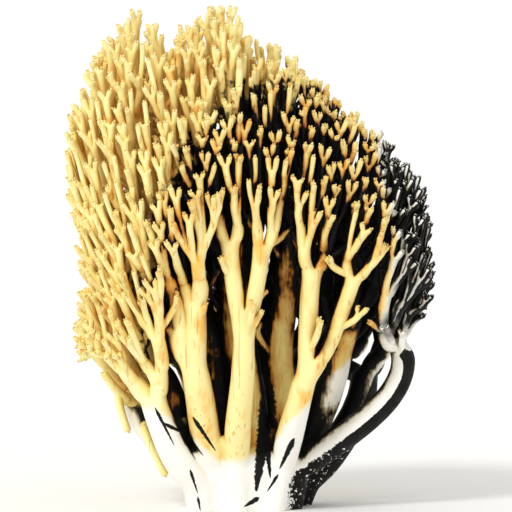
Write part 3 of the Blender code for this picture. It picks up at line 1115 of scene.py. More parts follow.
# %% [markdown]
# The cages become objects now. Each corner keeps what it knows about itself as an attribute: how thick its
# branch is, how far the nearest tip is, and whether it is the middle of a tip and which way that points.
# Materials and Geometry Nodes read these later, so that colour and teeth need no painting by hand. The stem
# is far from any tip.

# %% Cages as objects
STEM_GIRTH = 12.0
STEM_TO_TIP = 120.0


def limb_object(name, skin):
    """The cage of a limb as an object, with its girth and its distance to the tip kept on every corner."""
    mesh = bpy.data.meshes.new(name)
    mesh.from_pydata([corner * MM for corner in skin.corners], [], skin.faces)
    mesh.update()
    piece = bpy.data.objects.new(name, mesh)
    bpy.context.scene.collection.objects.link(piece)
    mesh.attributes.new("girth", "FLOAT", "POINT").data.foreach_set("value", skin.girth)
    mesh.attributes.new("to_tip", "FLOAT", "POINT").data.foreach_set("value", skin.to_tip)
    tip = np.zeros(len(skin.corners), np.float32)
    aim = np.zeros((len(skin.corners), 3), np.float32)
    for corner, way in skin.tips:
        tip[corner] = 1
        aim[corner] = way
    mesh.attributes.new("tip", "FLOAT", "POINT").data.foreach_set("value", tip)
    mesh.attributes.new("aim", "FLOAT_VECTOR", "POINT").data.foreach_set("vector", aim.ravel())
    return piece


def tell_stem(mesh):
    """The same attributes for the stem, which is one thickness and has no tips."""
    for name, value in (("girth", STEM_GIRTH), ("to_tip", STEM_TO_TIP)):
        data = mesh.attributes.new(name, "FLOAT", "POINT").data
        data.foreach_set("value", [value] * len(mesh.vertices))
    mesh.attributes.new("tip", "FLOAT", "POINT")
    mesh.attributes.new("aim", "FLOAT_VECTOR", "POINT")


pieces = {name: limb_object(f"{name}_grown", skin) for name, skin in skins.items()}
tell_stem(stem.data)
pieces["stem"] = stem
print(sum(len(piece.data.vertices) for piece in pieces.values()), "corners in", len(pieces), "pieces")

# %% [markdown]
# What makes a drawing of coral read at a glance is how dark it gets between the branches. The renderer
# darkens deep places by itself, but the drawn fungus goes much further, from pale tips to black gaps. So
# the skin is told how open each corner lies: rays go out from it in all directions, and the share that gets
# away is kept. A corner that lies buried in another piece would come out black, so it takes its value from
# its neighbours in the open.

# %% How open each corner lies
RAYS = 28
RAY_REACH = 90
RAY_LIFT = 0.15
FAR_SHARE = 0.3
BURIED_SHARE = 0.35
SPREAD_ROUNDS = 8
GOLDEN_TURN = math.pi * (3 - math.sqrt(5))


def fan_of_rays():
    """Directions round +Z, denser in the middle, as light that falls straight on a surface counts more."""
    rays = []
    for i in range(RAYS):
        slope = math.sqrt((i + 0.5) / RAYS)
        turn = GOLDEN_TURN * i
        rays.append(Vector((slope * math.cos(turn), slope * math.sin(turn), math.sqrt(1 - slope * slope))))
    return rays


def all_faces(pieces):
    """One search tree over every face of the pieces."""
    corners, faces = [], []
    for piece in pieces:
        first = len(corners)
        corners += [corner.co.copy() for corner in piece.data.vertices]
        faces += [[first + corner for corner in face.vertices] for face in piece.data.polygons]
    return BVHTree.FromPolygons(corners, faces)


def spread_from_seen(mesh, values, seen):
    """Gives buried corners the values of their nearest neighbours in the open, and softens all a little."""
    ends = np.array([edge.vertices[:] for edge in mesh.edges])
    one, other = ends[:, 0], ends[:, 1]
    known = seen.copy()
    for _ in range(SPREAD_ROUNDS):
        total, number = values * known, known.copy()
        np.add.at(total, one, (values * known)[other])
        np.add.at(total, other, (values * known)[one])
        np.add.at(number, one, known[other])
        np.add.at(number, other, known[one])
        reached = number > 0
        mixed = np.where(reached, total / np.maximum(number, 1), values)
        values = np.where(seen > 0, values, mixed)
        known = np.where(reached, 1.0, known)
    total, number = values.copy(), np.ones(len(values))
    np.add.at(total, one, values[other])
    np.add.at(total, other, values[one])
    np.add.at(number, ends.ravel(), 1)
    return total / number


def find_openness(pieces):
    """Keeps on every corner the share of rays that get away. One that ends far off counts in part."""
    tree = all_faces(pieces)
    rays = fan_of_rays()
    found = []
    for piece in pieces:
        mesh = piece.data
        values = np.zeros(len(mesh.vertices))
        seen = np.ones(len(mesh.vertices))
        for corner in mesh.vertices:
            turn = corner.normal.to_track_quat("Z", "Y")
            start = corner.co + corner.normal * RAY_LIFT * MM
            reached = buried = 0
            for ray in rays:
                way = turn @ ray
                _, facing, _, distance = tree.ray_cast(start, way, RAY_REACH * MM)
                reached += 1 if distance is None else distance / (RAY_REACH * MM) * FAR_SHARE
                buried += distance is not None and facing.dot(way) > 0
            values[corner.index] = reached / RAYS
            seen[corner.index] = buried < RAYS * BURIED_SHARE
        values = spread_from_seen(mesh, values, seen)
        mesh.attributes.new("open", "FLOAT", "POINT").data.foreach_set("value", values)
        found.append(values)
    return np.concatenate(found)


openness = find_openness(list(pieces.values()))
spread = np.percentile(openness, (10, 25, 50, 75, 90)).round(2)
print("openness, from the darkest tenth to the brightest:", spread)

# %% [markdown]
# A material is a tree of nodes. The next helpers keep the building of such trees short: one adds a node and
# fills in its sockets, and one turns a colour as a painter would name it, in steps of 255, into the linear
# numbers that light is reckoned in.

# %% Helpers for node trees
def linear(red, green, blue):
    """A colour given in steps of 255, as linear light."""
    parts = [value / 255 for value in (red, green, blue)]
    return (*(part / 12.92 if part <= 0.04045 else ((part + 0.055) / 1.055) ** 2.4 for part in parts), 1)


def node(tree, kind, inputs=None, **settings):
    """A new node. Its inputs are given by name or number, as values or as sockets to link from."""
    made = tree.nodes.new(kind)
    for name, value in settings.items():
        setattr(made, name, value)
    for name, value in (inputs or {}).items():
        if isinstance(value, bpy.types.NodeSocket):
            tree.links.new(value, made.inputs[name])
        else:
            made.inputs[name].default_value = value
    return made


def maths(tree, operation, *values, clamp=False):
    """One step of arithmetic."""
    inputs = dict(enumerate(values))
    return node(tree, "ShaderNodeMath", inputs, operation=operation, use_clamp=clamp).outputs[0]


print("pale ivory in linear light:", [round(part, 3) for part in linear(255, 243, 200)])

# %% [markdown]
# A few steps come back in every material: a row of colours along a value, a soft threshold, a bent line, a
# mixture, a noise, and an empty group to build a shared effect in. Each gets a short name of its own.

# %% Steps that materials share
def with_stops(tree, value, stops):
    """A Color Ramp along a value from 0 to 1, each stop a place and a colour."""
    made = node(tree, "ShaderNodeValToRGB", {0: value})
    elements = made.color_ramp.elements
    while len(elements) < len(stops):
        elements.new(1)
    for element, (place, colour) in zip(elements, stops):
        element.position = place
        element.color = colour
    return made.outputs[0]


def ramp(tree, value, *stops):
    """Colours along a value from 0 to 1, each stop a place and a colour in steps of 255."""
    return with_stops(tree, value, [(place, linear(*colour)) for place, colour in stops])


def smooth_step(tree, value, low, high):
    """A value that rises softly from 0 to 1 between low and high."""
    made = node(tree, "ShaderNodeMapRange", {0: value, 1: low, 2: high}, interpolation_type="SMOOTHSTEP")
    return made.outputs[0]


def curve(tree, value, reach, height, *stops):
    """A number that follows a bent line, its stops given as (value, number), up to a reach and a height."""
    greys = [(stop / reach, (*[number / height] * 3, 1)) for stop, number in stops]
    share = with_stops(tree, maths(tree, "DIVIDE", value, reach), greys)
    return maths(tree, "MULTIPLY", share, height)


def blended(tree, share, first, second, kind="MIX"):
    """Two colours mixed by a share."""
    made = node(tree, "ShaderNodeMix", {0: share, 6: first, 7: second}, data_type="RGBA", blend_type=kind)
    return made.outputs[2]


def noise(tree, place, scale, detail=3, roughness=0.5):
    """Cloudy noise. The scale is in lumps a metre."""
    inputs = {"Vector": place, "Scale": scale, "Detail": detail, "Roughness": roughness}
    return node(tree, "ShaderNodeTexNoise", inputs).outputs[0]


def group(name, sockets):
    """An empty shader group with its sockets: outputs, and inputs given with their first value."""
    tree = bpy.data.node_groups.new(name, "ShaderNodeTree")
    for socket, kind, way in sockets:
        tree.interface.new_socket(socket, in_out=way, socket_type=f"NodeSocket{kind}")
    return tree


steps = (ramp, smooth_step, curve, blended, noise, group)
print("steps ready:", ", ".join(step.__name__ for step in steps))

# %% [markdown]
# The stem of the drawing has a few dark strokes, the shade in creases of the flesh, painted here into the
# colour as shade. Each is given by its two ends seen from the front, and by its width. One small shader group
# draws a stroke that is widest near its upper end, runs out below and has ragged edges. It is placed once for
# each crease, every time with its own ends.

# %% One line of painted crease shade
# Dark lines of painted shade, where the stem's creases would lie in shade.
CREASE_SHADE_LINES = [
    ((6.5, 40), (2, 7), 3.0), ((5, 26), (6.5, 11), 1.3), ((14, 24), (9.5, 14), 1.1),
    ((9, 12), (5.5, 6.5), 0.6), ((2.8, 4.4), (-1.8, 1.8), 1.0), ((-19, 14), (-16.6, 6.2), 0.55),
    ((-16.6, 5), (-15.8, 0.4), 0.5), ((-18, 31), (-11, 20), 0.8), ((-27, 29), (-20, 25), 0.7),
    ((-20, 25), (-15, 18.4), 0.6), ((-30, 34), (-24, 22), 0.6),
]
CREASE_SWELL = (-0.12, 0.22)
CREASE_RUN_OUT = 0.55
CREASE_GRAIN = 1.1
CREASE_RAGGED = 1.6
CREASE_LAST = 1.03
CREASE_RIM = (1.05, 0.9)


def crease_group():
    """One dark line of painted shade between two places, seen from the front and given in millimetres."""
    sockets = [(name, "Vector", "INPUT") for name in ("Place", "From", "To")]
    tree = group("crease_shade", sockets + [("Width", "Float", "INPUT"), ("Line", "Float", "OUTPUT")])
    into = node(tree, "NodeGroupInput")
    out = node(tree, "NodeGroupOutput")

    def vectors(operation, first, second):
        return node(tree, "ShaderNodeVectorMath", {0: first, 1: second}, operation=operation).outputs

    along = vectors("SUBTRACT", into.outputs["To"], into.outputs["From"])[0]
    off = vectors("SUBTRACT", into.outputs["Place"], into.outputs["From"])[0]
    dots = vectors("DOT_PRODUCT", off, along)["Value"], vectors("DOT_PRODUCT", along, along)["Value"]
    share = maths(tree, "DIVIDE", *dots, clamp=True)
    reached = node(tree, "ShaderNodeVectorMath", {0: along, "Scale": share}, operation="SCALE").outputs[0]
    distance = vectors("DISTANCE", off, reached)["Value"]
    ragged = maths(tree, "SUBTRACT", noise(tree, into.outputs["Place"], CREASE_GRAIN, 4, 0.7), 0.5)
    run_out = maths(tree, "POWER", maths(tree, "SUBTRACT", CREASE_LAST, share), CREASE_RUN_OUT)
    swell = maths(tree, "MULTIPLY", smooth_step(tree, share, *CREASE_SWELL), run_out)
    wide = maths(tree, "MULTIPLY", into.outputs["Width"], swell)
    off_line = maths(tree, "DIVIDE", distance, wide)
    beyond = maths(tree, "SUBTRACT", off_line, maths(tree, "MULTIPLY", ragged, CREASE_RAGGED))
    tree.links.new(smooth_step(tree, beyond, *CREASE_RIM), out.inputs["Line"])
    return tree


CREASE_SHADE = crease_group()
print("a crease takes", len(CREASE_SHADE.nodes), "nodes, and there are", len(CREASE_SHADE_LINES), "creases")

# %% [markdown]
# The drawing is tinted in three ways, and they change over the fungus as a whole: golden flesh on the left
# and the top, pale flesh with gaps painted black as shade in the middle, and white flesh at the far right
# and in the stem.
# The middle is an oval, and the white parts end at bent lines, given as heights and places in millimetres.
# Soft noise makes every border wander. These helpers each give one share from 0 to 1.

# %% Borders of the tints
OVAL_MIDDLE = (16, 67)
OVAL_REACH = (50, 72)
OVAL_RIM = (1.06, 0.94)
FRINGE_LUMPS = 420
FRINGE = 0.5
WANDER = 7
WHITE_EDGE = [(0, 0), (20, 3), (36, 19), (47, 30), (58, 40), (86, 46), (108, 41), (170, 41)]
FOOT_EDGE = [(0, 34), (7, 31), (14, 22), (20, 17), (28, 17), (34, 20), (44, 23), (60, 20)]
FOOT_FROM = 30
HIGHEST = 170
FARTHEST = 60
SOFT_BORDER = (-1, 2)
STOUT_GIRTH = (2, 3)


def in_oval(tree, place, x, z, cloud):
    """Inside the oval in the middle, where the gaps are painted black as shade."""
    squares = []
    for value, middle, reach in zip((x, z), OVAL_MIDDLE, OVAL_REACH):
        share = maths(tree, "DIVIDE", maths(tree, "SUBTRACT", value, middle), reach)
        squares.append(maths(tree, "POWER", share, 2))
    far = maths(tree, "ADD", maths(tree, "ADD", *squares), cloud)
    fringe = maths(tree, "SUBTRACT", noise(tree, place, FRINGE_LUMPS), 0.5)
    far = maths(tree, "ADD", far, maths(tree, "MULTIPLY", fringe, FRINGE))
    return smooth_step(tree, far, *OVAL_RIM)


def past_white_edge(tree, x, z, wander):
    """How many millimetres a place lies to the right of the line where the white far right begins."""
    edge = curve(tree, z, HIGHEST, FARTHEST, *WHITE_EDGE)
    return maths(tree, "ADD", maths(tree, "SUBTRACT", x, edge), wander)


def in_white_foot(tree, x, z, wander):
    """In the white foot: the stem and the lower ends of the stout limbs."""
    girth = node(tree, "ShaderNodeAttribute", attribute_name="girth").outputs["Fac"]
    rim = curve(tree, maths(tree, "ADD", x, FOOT_FROM), FARTHEST, FARTHEST, *FOOT_EDGE)
    depth = maths(tree, "ADD", maths(tree, "SUBTRACT", rim, z), wander)
    stout = smooth_step(tree, girth, *STOUT_GIRTH)
    return maths(tree, "MULTIPLY", smooth_step(tree, depth, *SOFT_BORDER), stout)


oval_left, oval_right = OVAL_MIDDLE[0] - OVAL_REACH[0], OVAL_MIDDLE[0] + OVAL_REACH[0]
print("the gaps are black from", oval_left, "to", oval_right, "mm across the front")

# %% [markdown]
# Two more things follow the place on the fungus. Black is painted as shade along the underside of the right
# limb, found from the slope of the limb and from which way its surface faces. The painted crease shade lies
# on the front alone. All of this goes into one group, so that every material agrees on where a tint holds.
# Two of its outputs are masks inside a tint: the far right above the bare limb, and a painted glow of light
# that keeps the flesh low in the middle pale.

# %% Where each tint holds
CLOUD_LUMPS = 90
# Where black is painted as shade, under the right limb.
UNDERSIDE_SHADE_FROM = 10
UNDERSIDE_SHADE_SLOPE = 1.15
UNDERSIDE_SHADE_FACING = (0.62, 0, -0.78)
UNDERSIDE_SHADE_RIM = (9, 4)
UNDERSIDE_SHADE_TURN = (-0.1, 0.25)
UNDERSIDE_SHADE_ACROSS = (11, 15)
FRONT_ONLY = (0, -4 * MM)
GLOW_ACROSS = (26, 2)
GLOW_HEIGHTS = (112, 92)
GLOW_SHARE = 0.17
FAR_RIGHT_WANDER = 20
FAR_RIGHT_HEIGHTS = (54, 64)


def underside(tree, x, z):
    """On the underside of the right limb, where black is painted as shade."""
    rise = maths(tree, "MULTIPLY", maths(tree, "SUBTRACT", x, UNDERSIDE_SHADE_FROM), UNDERSIDE_SHADE_SLOPE)
    under = smooth_step(tree, maths(tree, "SUBTRACT", z, rise), *UNDERSIDE_SHADE_RIM)
    normal = node(tree, "ShaderNodeTexCoord").outputs["Normal"]
    facing = node(tree, "ShaderNodeVectorMath", {0: normal, 1: UNDERSIDE_SHADE_FACING}, operation="DOT_PRODUCT")
    under = maths(tree, "MULTIPLY", under, smooth_step(tree, facing.outputs["Value"], *UNDERSIDE_SHADE_TURN))
    return maths(tree, "MULTIPLY", under, smooth_step(tree, x, *UNDERSIDE_SHADE_ACROSS))


def all_creases(tree, x, y, z):
    """On one of the lines of painted crease shade, at the front."""
    flat = node(tree, "ShaderNodeCombineXYZ", {0: x, 2: z}).outputs[0]
    drawn = None
    for start, end, width in CREASE_SHADE_LINES:
        ends = {"From": (start[0], 0, start[1]), "To": (end[0], 0, end[1])}
        inputs = {"Place": flat, "Width": width, **ends}
        line = node(tree, "ShaderNodeGroup", inputs, node_tree=CREASE_SHADE).outputs[0]
        drawn = line if drawn is None else maths(tree, "MAXIMUM", drawn, line)
    return maths(tree, "MULTIPLY", drawn, smooth_step(tree, y, *FRONT_ONLY))


def place_group():
    """Shares from 0 to 1 of every tint, painted shade and mask that follows the place on the fungus."""
    names = ("Inky", "White", "Stained", "Far Right", "Creases", "Inner Glow")
    tree = group("tints_and_shades_by_place", [(name, "Float", "OUTPUT") for name in names])
    out = node(tree, "NodeGroupOutput")
    place = node(tree, "ShaderNodeTexCoord").outputs["Object"]
    parts = node(tree, "ShaderNodeSeparateXYZ", {0: place})
    x = maths(tree, "MULTIPLY", parts.outputs[0], 1 / MM)
    z = maths(tree, "MULTIPLY", parts.outputs[2], 1 / MM)
    cloud = maths(tree, "SUBTRACT", noise(tree, place, CLOUD_LUMPS), 0.5)
    wander = maths(tree, "MULTIPLY", cloud, WANDER)
    past = past_white_edge(tree, x, z, wander)
    foot = in_white_foot(tree, x, z, wander)
    white = maths(tree, "MAXIMUM", smooth_step(tree, past, *SOFT_BORDER), foot)
    lifted = maths(tree, "ADD", z, maths(tree, "MULTIPLY", cloud, FAR_RIGHT_WANDER))
    beyond = smooth_step(tree, maths(tree, "SUBTRACT", past, 1), -1, 3)
    # Painted light: a glow low in the middle that lifts the painted shade there.
    low_down = smooth_step(tree, z, *GLOW_HEIGHTS)
    glow = maths(tree, "MULTIPLY", smooth_step(tree, x, *GLOW_ACROSS), low_down)
    high_up = smooth_step(tree, lifted, *FAR_RIGHT_HEIGHTS)
    shares = {
        "Inky": in_oval(tree, place, x, z, cloud),
        "White": white,
        "Stained": underside(tree, x, z),
        "Far Right": maths(tree, "MULTIPLY", high_up, beyond),
        "Creases": all_creases(tree, x, parts.outputs[1], z),
        "Inner Glow": maths(tree, "MULTIPLY", glow, GLOW_SHARE),
    }
    for name, share in shares.items():
        tree.links.new(share, out.inputs[name])
    return tree


PLACE = place_group()
print("the tints follow the place on the fungus through", len(PLACE.nodes), "nodes")

# %% [markdown]
# Each tint has its own row of colours, from the deepest shade to full light, read by how open the flesh
# lies. Golden flesh stays warm in its shades. In the middle the row breaks off into black at about two
# fifths, as the ink of the drawing does, and the white flesh does the same. The shares by place then blend
# the three rows.

# %% Rows of shades
GOLDEN_SHADES = [
    (0.06, (208, 166, 88)), (0.26, (243, 211, 122)), (0.45, (250, 229, 146)), (0.65, (251, 237, 159)),
    (0.85, (254, 245, 188)),
]
# Painted shade of the middle: black in the deep gaps, golden where the flesh lies open.
BLACK_GAP_SHADES = [
    (0.0, (3, 2, 1)), (0.43, (5, 3, 1)), (0.46, (146, 88, 24)), (0.52, (222, 168, 82)),
    (0.63, (240, 213, 126)), (0.86, (252, 236, 166)),
]
WHITE_SHADES = [
    (0.0, (3, 3, 2)), (0.42, (6, 5, 4)), (0.48, (150, 134, 100)), (0.55, (240, 235, 218)),
    (0.72, (249, 247, 240)),
]


def shades(tree, lit, tints):
    """The three rows of shades, blended by place."""
    # The inner glow is painted light, added to how open the flesh lies before the rows of shade.
    lifted = maths(tree, "ADD", lit, tints["Inner Glow"], clamp=True)
    # In the middle oval the gaps are painted black as shade.
    gap_shade = ramp(tree, lifted, *BLACK_GAP_SHADES)
    colour = blended(tree, tints["Inky"], ramp(tree, lit, *GOLDEN_SHADES), gap_shade)
    return blended(tree, tints["White"], colour, ramp(tree, lit, *WHITE_SHADES))


print(len(GOLDEN_SHADES), "golden,", len(BLACK_GAP_SHADES), "inky and", len(WHITE_SHADES), "white shades")

# %% [markdown]
# Over these rows go the washes of the drawing. The last millimetres of each tip are khaki, and at the far
# right everything that turns away from the viewer is painted black as shade, which leaves white twigs with
# black outlines. Ochre clouds lie along the shaded branches, a tint in the middle and painted shade
# elsewhere, with fine hatched lines. The black shade painted under the right limb breaks up into stipple
# towards its foot, and the painted shade of the creases comes last.

# %% Washes over the shades
KHAKI = linear(232, 206, 128)
KHAKI_SHARE = 0.45
KHAKI_REACH = 4
KHAKI_LIGHT = (0.42, 0.6)
# Black for painted shade: under the right limb, and on the turned-away sides at the far right.
SHADE_BLACK = linear(5, 4, 3)
CREASE_SHADE_COLOUR = linear(6, 5, 4)
OUTLINE_FACING = (-0.4, -0.9, 0.15)
OUTLINE_RIM = (0.93, 0.82)
OCHRE_WASH = linear(252, 202, 112)
OCHRE_STRETCH = 0.4
OCHRE_LUMPS = 170
OCHRE_RIM = (0.5, 0.72)
OCHRE_LIGHT = (0.5, 0.3)
OCHRE_SHARE = 0.8
HATCH_WASH = linear(214, 166, 92)
HATCH_STRETCH = 0.03
HATCH_LINES = 1000
HATCH_RIM = (0.36, 0.3)
HATCH_SHARE = 0.6
STIPPLE_DOTS = 900
STIPPLE_RIM = (0.4, 0.55)
STIPPLE_WITHIN = (0, 0.3)
STIPPLE_MOST = 4
STIPPLE_BY_HEIGHT = [(0, 3.6), (18, 3.2), (26, 0.5), (60, 0.3)]


def stretched(tree, place, along):
    """Places squeezed in height, so that a noise on them is drawn out along the branches."""
    return node(tree, "ShaderNodeMapping", {"Vector": place, "Scale": (1, 1, along)}).outputs[0]


def khaki_tips(tree, colour, lit, tints):
    """Khaki on the last millimetres of the tips that stand in the light."""
    to_tip = node(tree, "ShaderNodeAttribute", attribute_name="to_tip").outputs["Fac"]
    share = maths(tree, "MULTIPLY", smooth_step(tree, to_tip, KHAKI_REACH, 0), KHAKI_SHARE)
    share = maths(tree, "MULTIPLY", share, maths(tree, "SUBTRACT", 1, tints["White"]))
    share = maths(tree, "MULTIPLY", share, smooth_step(tree, lit, *KHAKI_LIGHT))
    return blended(tree, share, colour, KHAKI)


def burnt_outlines(tree, colour, shift, tints):
    """Black painted as shade at the far right, wherever the flesh turns away from the viewer in front."""
    normal = node(tree, "ShaderNodeTexCoord").outputs["Normal"]
    frontal = node(tree, "ShaderNodeVectorMath", {0: normal, 1: OUTLINE_FACING}, operation="DOT_PRODUCT")
    # Painted shade: black where the flesh turns away from the front.
    outline = smooth_step(tree, maths(tree, "ADD", frontal.outputs["Value"], shift), *OUTLINE_RIM)
    return blended(tree, maths(tree, "MULTIPLY", outline, tints["Far Right"]), colour, SHADE_BLACK)


def ochre_and_hatching(tree, colour, place, lit, tints):
    """Ochre clouds, a tint in the middle and painted shade elsewhere, and fine lines along the branches."""
    clouds = noise(tree, stretched(tree, place, OCHRE_STRETCH), OCHRE_LUMPS)
    # Outside the middle the ochre darkens only where the flesh lies in shade: painted shade.
    shaded = maths(tree, "MAXIMUM", tints["Inky"], smooth_step(tree, lit, *OCHRE_LIGHT))
    ochre = maths(tree, "MULTIPLY", smooth_step(tree, clouds, *OCHRE_RIM), shaded)
    off_white = maths(tree, "SUBTRACT", OCHRE_SHARE, tints["White"])
    ochre = maths(tree, "MULTIPLY", ochre, off_white, clamp=True)
    colour = blended(tree, ochre, colour, OCHRE_WASH, "MULTIPLY")
    lines = noise(tree, stretched(tree, place, HATCH_STRETCH), HATCH_LINES, 1)
    lines = smooth_step(tree, lines, *HATCH_RIM)
    off_white = maths(tree, "SUBTRACT", HATCH_SHARE, tints["White"])
    lines = maths(tree, "MULTIPLY", lines, off_white, clamp=True)
    return blended(tree, lines, colour, HATCH_WASH, "MULTIPLY")


def stain_and_creases(tree, colour, place, tints):
    """Black shade painted under the right limb and stippled towards its foot, then the crease shade."""
    stipple = maths(tree, "SUBTRACT", noise(tree, place, STIPPLE_DOTS, 2, 0.7), 0.5)
    above_ground = node(tree, "ShaderNodeSeparateXYZ", {0: place}).outputs[2]
    height = maths(tree, "MULTIPLY", above_ground, 1 / MM)
    coarse = curve(tree, height, FARTHEST, STIPPLE_MOST, *STIPPLE_BY_HEIGHT)
    stipple = maths(tree, "MULTIPLY", stipple, coarse)
    # Black painted as shade under the right limb, stippled at its edge.
    under_shade = smooth_step(tree, maths(tree, "ADD", tints["Stained"], stipple), *STIPPLE_RIM)
    under_shade = maths(tree, "MULTIPLY", under_shade, smooth_step(tree, tints["Stained"], *STIPPLE_WITHIN))
    # The painted shade of the creases goes on last.
    return blended(tree, tints["Creases"], blended(tree, under_shade, colour, SHADE_BLACK), CREASE_SHADE_COLOUR)


print("washes: khaki tips, burnt outlines, ochre and hatching, stain and creases")

# %% [markdown]
# One group puts shades and washes together for branches and stem alike. Fine streaks along the branches and
# soft clouds shift how light the flesh reads, so that no shade looks flat. The same streaks make a height
# for the bump, and the same clouds say where the flesh is a little damp and shines more.

# %% The flesh
STREAK_STRETCH = 0.09
STREAKS = 1200
CLOUDS = 240
SHIFT = 0.2
GRAIN = 2600
STREAK_HEIGHT = 0.7
DAMP_CLOUDS = (0.35, 0.65)


def flesh_group():
    """The colour of the flesh, its height for bump, and where it is damp."""
    sockets = [("Colour", "Color", "OUTPUT"), ("Height", "Float", "OUTPUT"), ("Damp", "Float", "OUTPUT")]
    tree = group("flesh", sockets)
    out = node(tree, "NodeGroupOutput")
    place = node(tree, "ShaderNodeTexCoord").outputs["Object"]
    tints = node(tree, "ShaderNodeGroup", node_tree=PLACE).outputs
    lie = node(tree, "ShaderNodeAttribute", attribute_name="open").outputs["Fac"]
    streaks = noise(tree, stretched(tree, place, STREAK_STRETCH), STREAKS, 3, 0.6)
    clouds = noise(tree, place, CLOUDS)
    streaky, cloudy = (maths(tree, "SUBTRACT", value, 0.5) for value in (streaks, clouds))
    cloudy = maths(tree, "MULTIPLY", cloudy, SHIFT)
    shift = maths(tree, "ADD", maths(tree, "MULTIPLY", streaky, SHIFT), cloudy)
    lit = maths(tree, "ADD", lie, shift, clamp=True)

    colour = shades(tree, lit, tints)
    colour = khaki_tips(tree, colour, lit, tints)
    colour = burnt_outlines(tree, colour, shift, tints)
    colour = ochre_and_hatching(tree, colour, place, lit, tints)
    colour = stain_and_creases(tree, colour, place, tints)
    tree.links.new(colour, out.inputs["Colour"])

    grain = maths(tree, "MULTIPLY", noise(tree, place, GRAIN, 3), 1 - STREAK_HEIGHT)
    raised = maths(tree, "ADD", maths(tree, "MULTIPLY", streaks, STREAK_HEIGHT), grain)
    tree.links.new(raised, out.inputs["Height"])
    tree.links.new(smooth_step(tree, clouds, *DAMP_CLOUDS), out.inputs["Damp"])
    return tree


FLESH = flesh_group()
print("the flesh is painted by", len(FLESH.nodes), "nodes")

# %% [markdown]
# The materials themselves hold the Principled shader, with what is their own: the stem is a little rougher
# and more coarsely grained than the branches. Their colours, the bump's height and the damp places come
# from the shared group, and both are matt, with a weak shine.

# %% Branch flesh and stem flesh
SHINE = 0.25
BUMP_STRENGTH = 0.6


def flesh_material(name, dry, damp, bump):
    """Matt flesh, given its roughness where it is dry and where it is damp, and the depth of its bump."""
    made = bpy.data.materials.new(name)
    made.use_nodes = True
    tree = made.node_tree
    shader = tree.nodes["Principled BSDF"]
    flesh = node(tree, "ShaderNodeGroup", node_tree=FLESH)
    depth = {"Height": flesh.outputs["Height"], "Distance": bump * MM, "Strength": BUMP_STRENGTH}
    relief = node(tree, "ShaderNodeBump", depth)
    tree.links.new(flesh.outputs["Colour"], shader.inputs["Base Color"])
    tree.links.new(relief.outputs[0], shader.inputs["Normal"])
    rough = node(tree, "ShaderNodeMapRange", {0: flesh.outputs["Damp"], 3: dry, 4: damp}).outputs[0]
    tree.links.new(rough, shader.inputs["Roughness"])
    shader.inputs["Specular IOR Level"].default_value = SHINE
    return made


branch_flesh = flesh_material("branch_flesh_grown", dry=0.72, damp=0.5, bump=0.25)
stem_flesh = flesh_material("stem_flesh_grown", dry=0.78, damp=0.58, bump=0.35)
print("materials:", branch_flesh.name, stem_flesh.name)

# %% [markdown]
# Living flesh is never as smooth as a loft. Geometry Nodes give every piece its lumps and its long low
# ridges: a noise moves each corner in or out, by more on a stout branch than on a twig. The relief fades
# out towards the ground, so that the cut stays flat. Doing this in nodes means that one recipe serves all
# the pieces.

# %% Lumps and ridges
FLAT_FOOT = 2.0
RIDGES_A_LUMP = 2.4
RIDGE_STRETCH = 0.15


def named(tree, name, kind):
    """An attribute that the skin's corners carry."""
    return node(tree, "GeometryNodeInputNamedAttribute", {"Name": name}, data_type=kind).outputs[0]


def moved(tree, geometry, offset):
    """The geometry with its corners moved by an offset."""
    return node(tree, "GeometryNodeSetPosition", {"Geometry": geometry, "Offset": offset}).outputs[0]


def lumps_and_ridges(tree, into):
    """The skin with its relief."""
    place = node(tree, "GeometryNodeInputPosition").outputs[0]
    normal = node(tree, "GeometryNodeInputNormal").outputs[0]
    girth = named(tree, "girth", "FLOAT")
    per_metre = maths(tree, "DIVIDE", 1, into["Lump Size"])
    lumps = maths(tree, "SUBTRACT", noise(tree, place, per_metre, 2), 0.5)
    squeeze = (1, 1, RIDGE_STRETCH)
    flat = node(tree, "ShaderNodeVectorMath", {0: place, 1: squeeze}, operation="MULTIPLY").outputs[0]
    ridges = noise(tree, flat, maths(tree, "MULTIPLY", per_metre, RIDGES_A_LUMP), 1)
    ridges = maths(tree, "MULTIPLY", maths(tree, "SUBTRACT", ridges, 0.5), into["Ridge Height"])
    lift = maths(tree, "ADD", maths(tree, "MULTIPLY", lumps, into["Lump Height"]), ridges)
    lift = maths(tree, "MULTIPLY", lift, girth)
    above_ground = node(tree, "ShaderNodeSeparateXYZ", {0: place}).outputs[2]
    fade = maths(tree, "DIVIDE", above_ground, FLAT_FOOT * MM, clamp=True)
    lift = maths(tree, "MULTIPLY", lift, fade)
    offset = node(tree, "ShaderNodeVectorMath", {0: normal, "Scale": lift}, operation="SCALE").outputs[0]
    return moved(tree, into["Geometry"], offset)


print("relief fades out below", FLAT_FOOT, "mm")

# %% [markdown]
# Each cut-off tip carries two tiny blunt teeth. The corner in the middle of a tip is marked, so those
# corners are made points, doubled, moved out to the rim, and given a small cone each, leaning outwards.
# Teeth are instances, which is quick even with thousands, and a seed keeps their turns and sizes the same
# each time.

# %% Teeth on the tips
TIP_MARK = 0.75
TOOTH_TURN = 1.3
TOOTH_SIDES = 5
TOOTH_TAPER = 0.5
TOOTH_LEAN = 0.35
TOOTH_SIZES = (0.65, 1.2)


def by_lot(tree, low, high, seed):
    """A random number for each point."""
    inputs = {2: low, 3: high, "Seed": seed}
    return node(tree, "FunctionNodeRandomValue", inputs, data_type="FLOAT").outputs[1]


def turned_by(tree, first, second):
    """One rotation after another, the second as seen from the first."""
    inputs = {"Rotation": first, "Rotate By": second}
    return node(tree, "FunctionNodeRotateRotation", inputs, rotation_space="LOCAL").outputs[0]


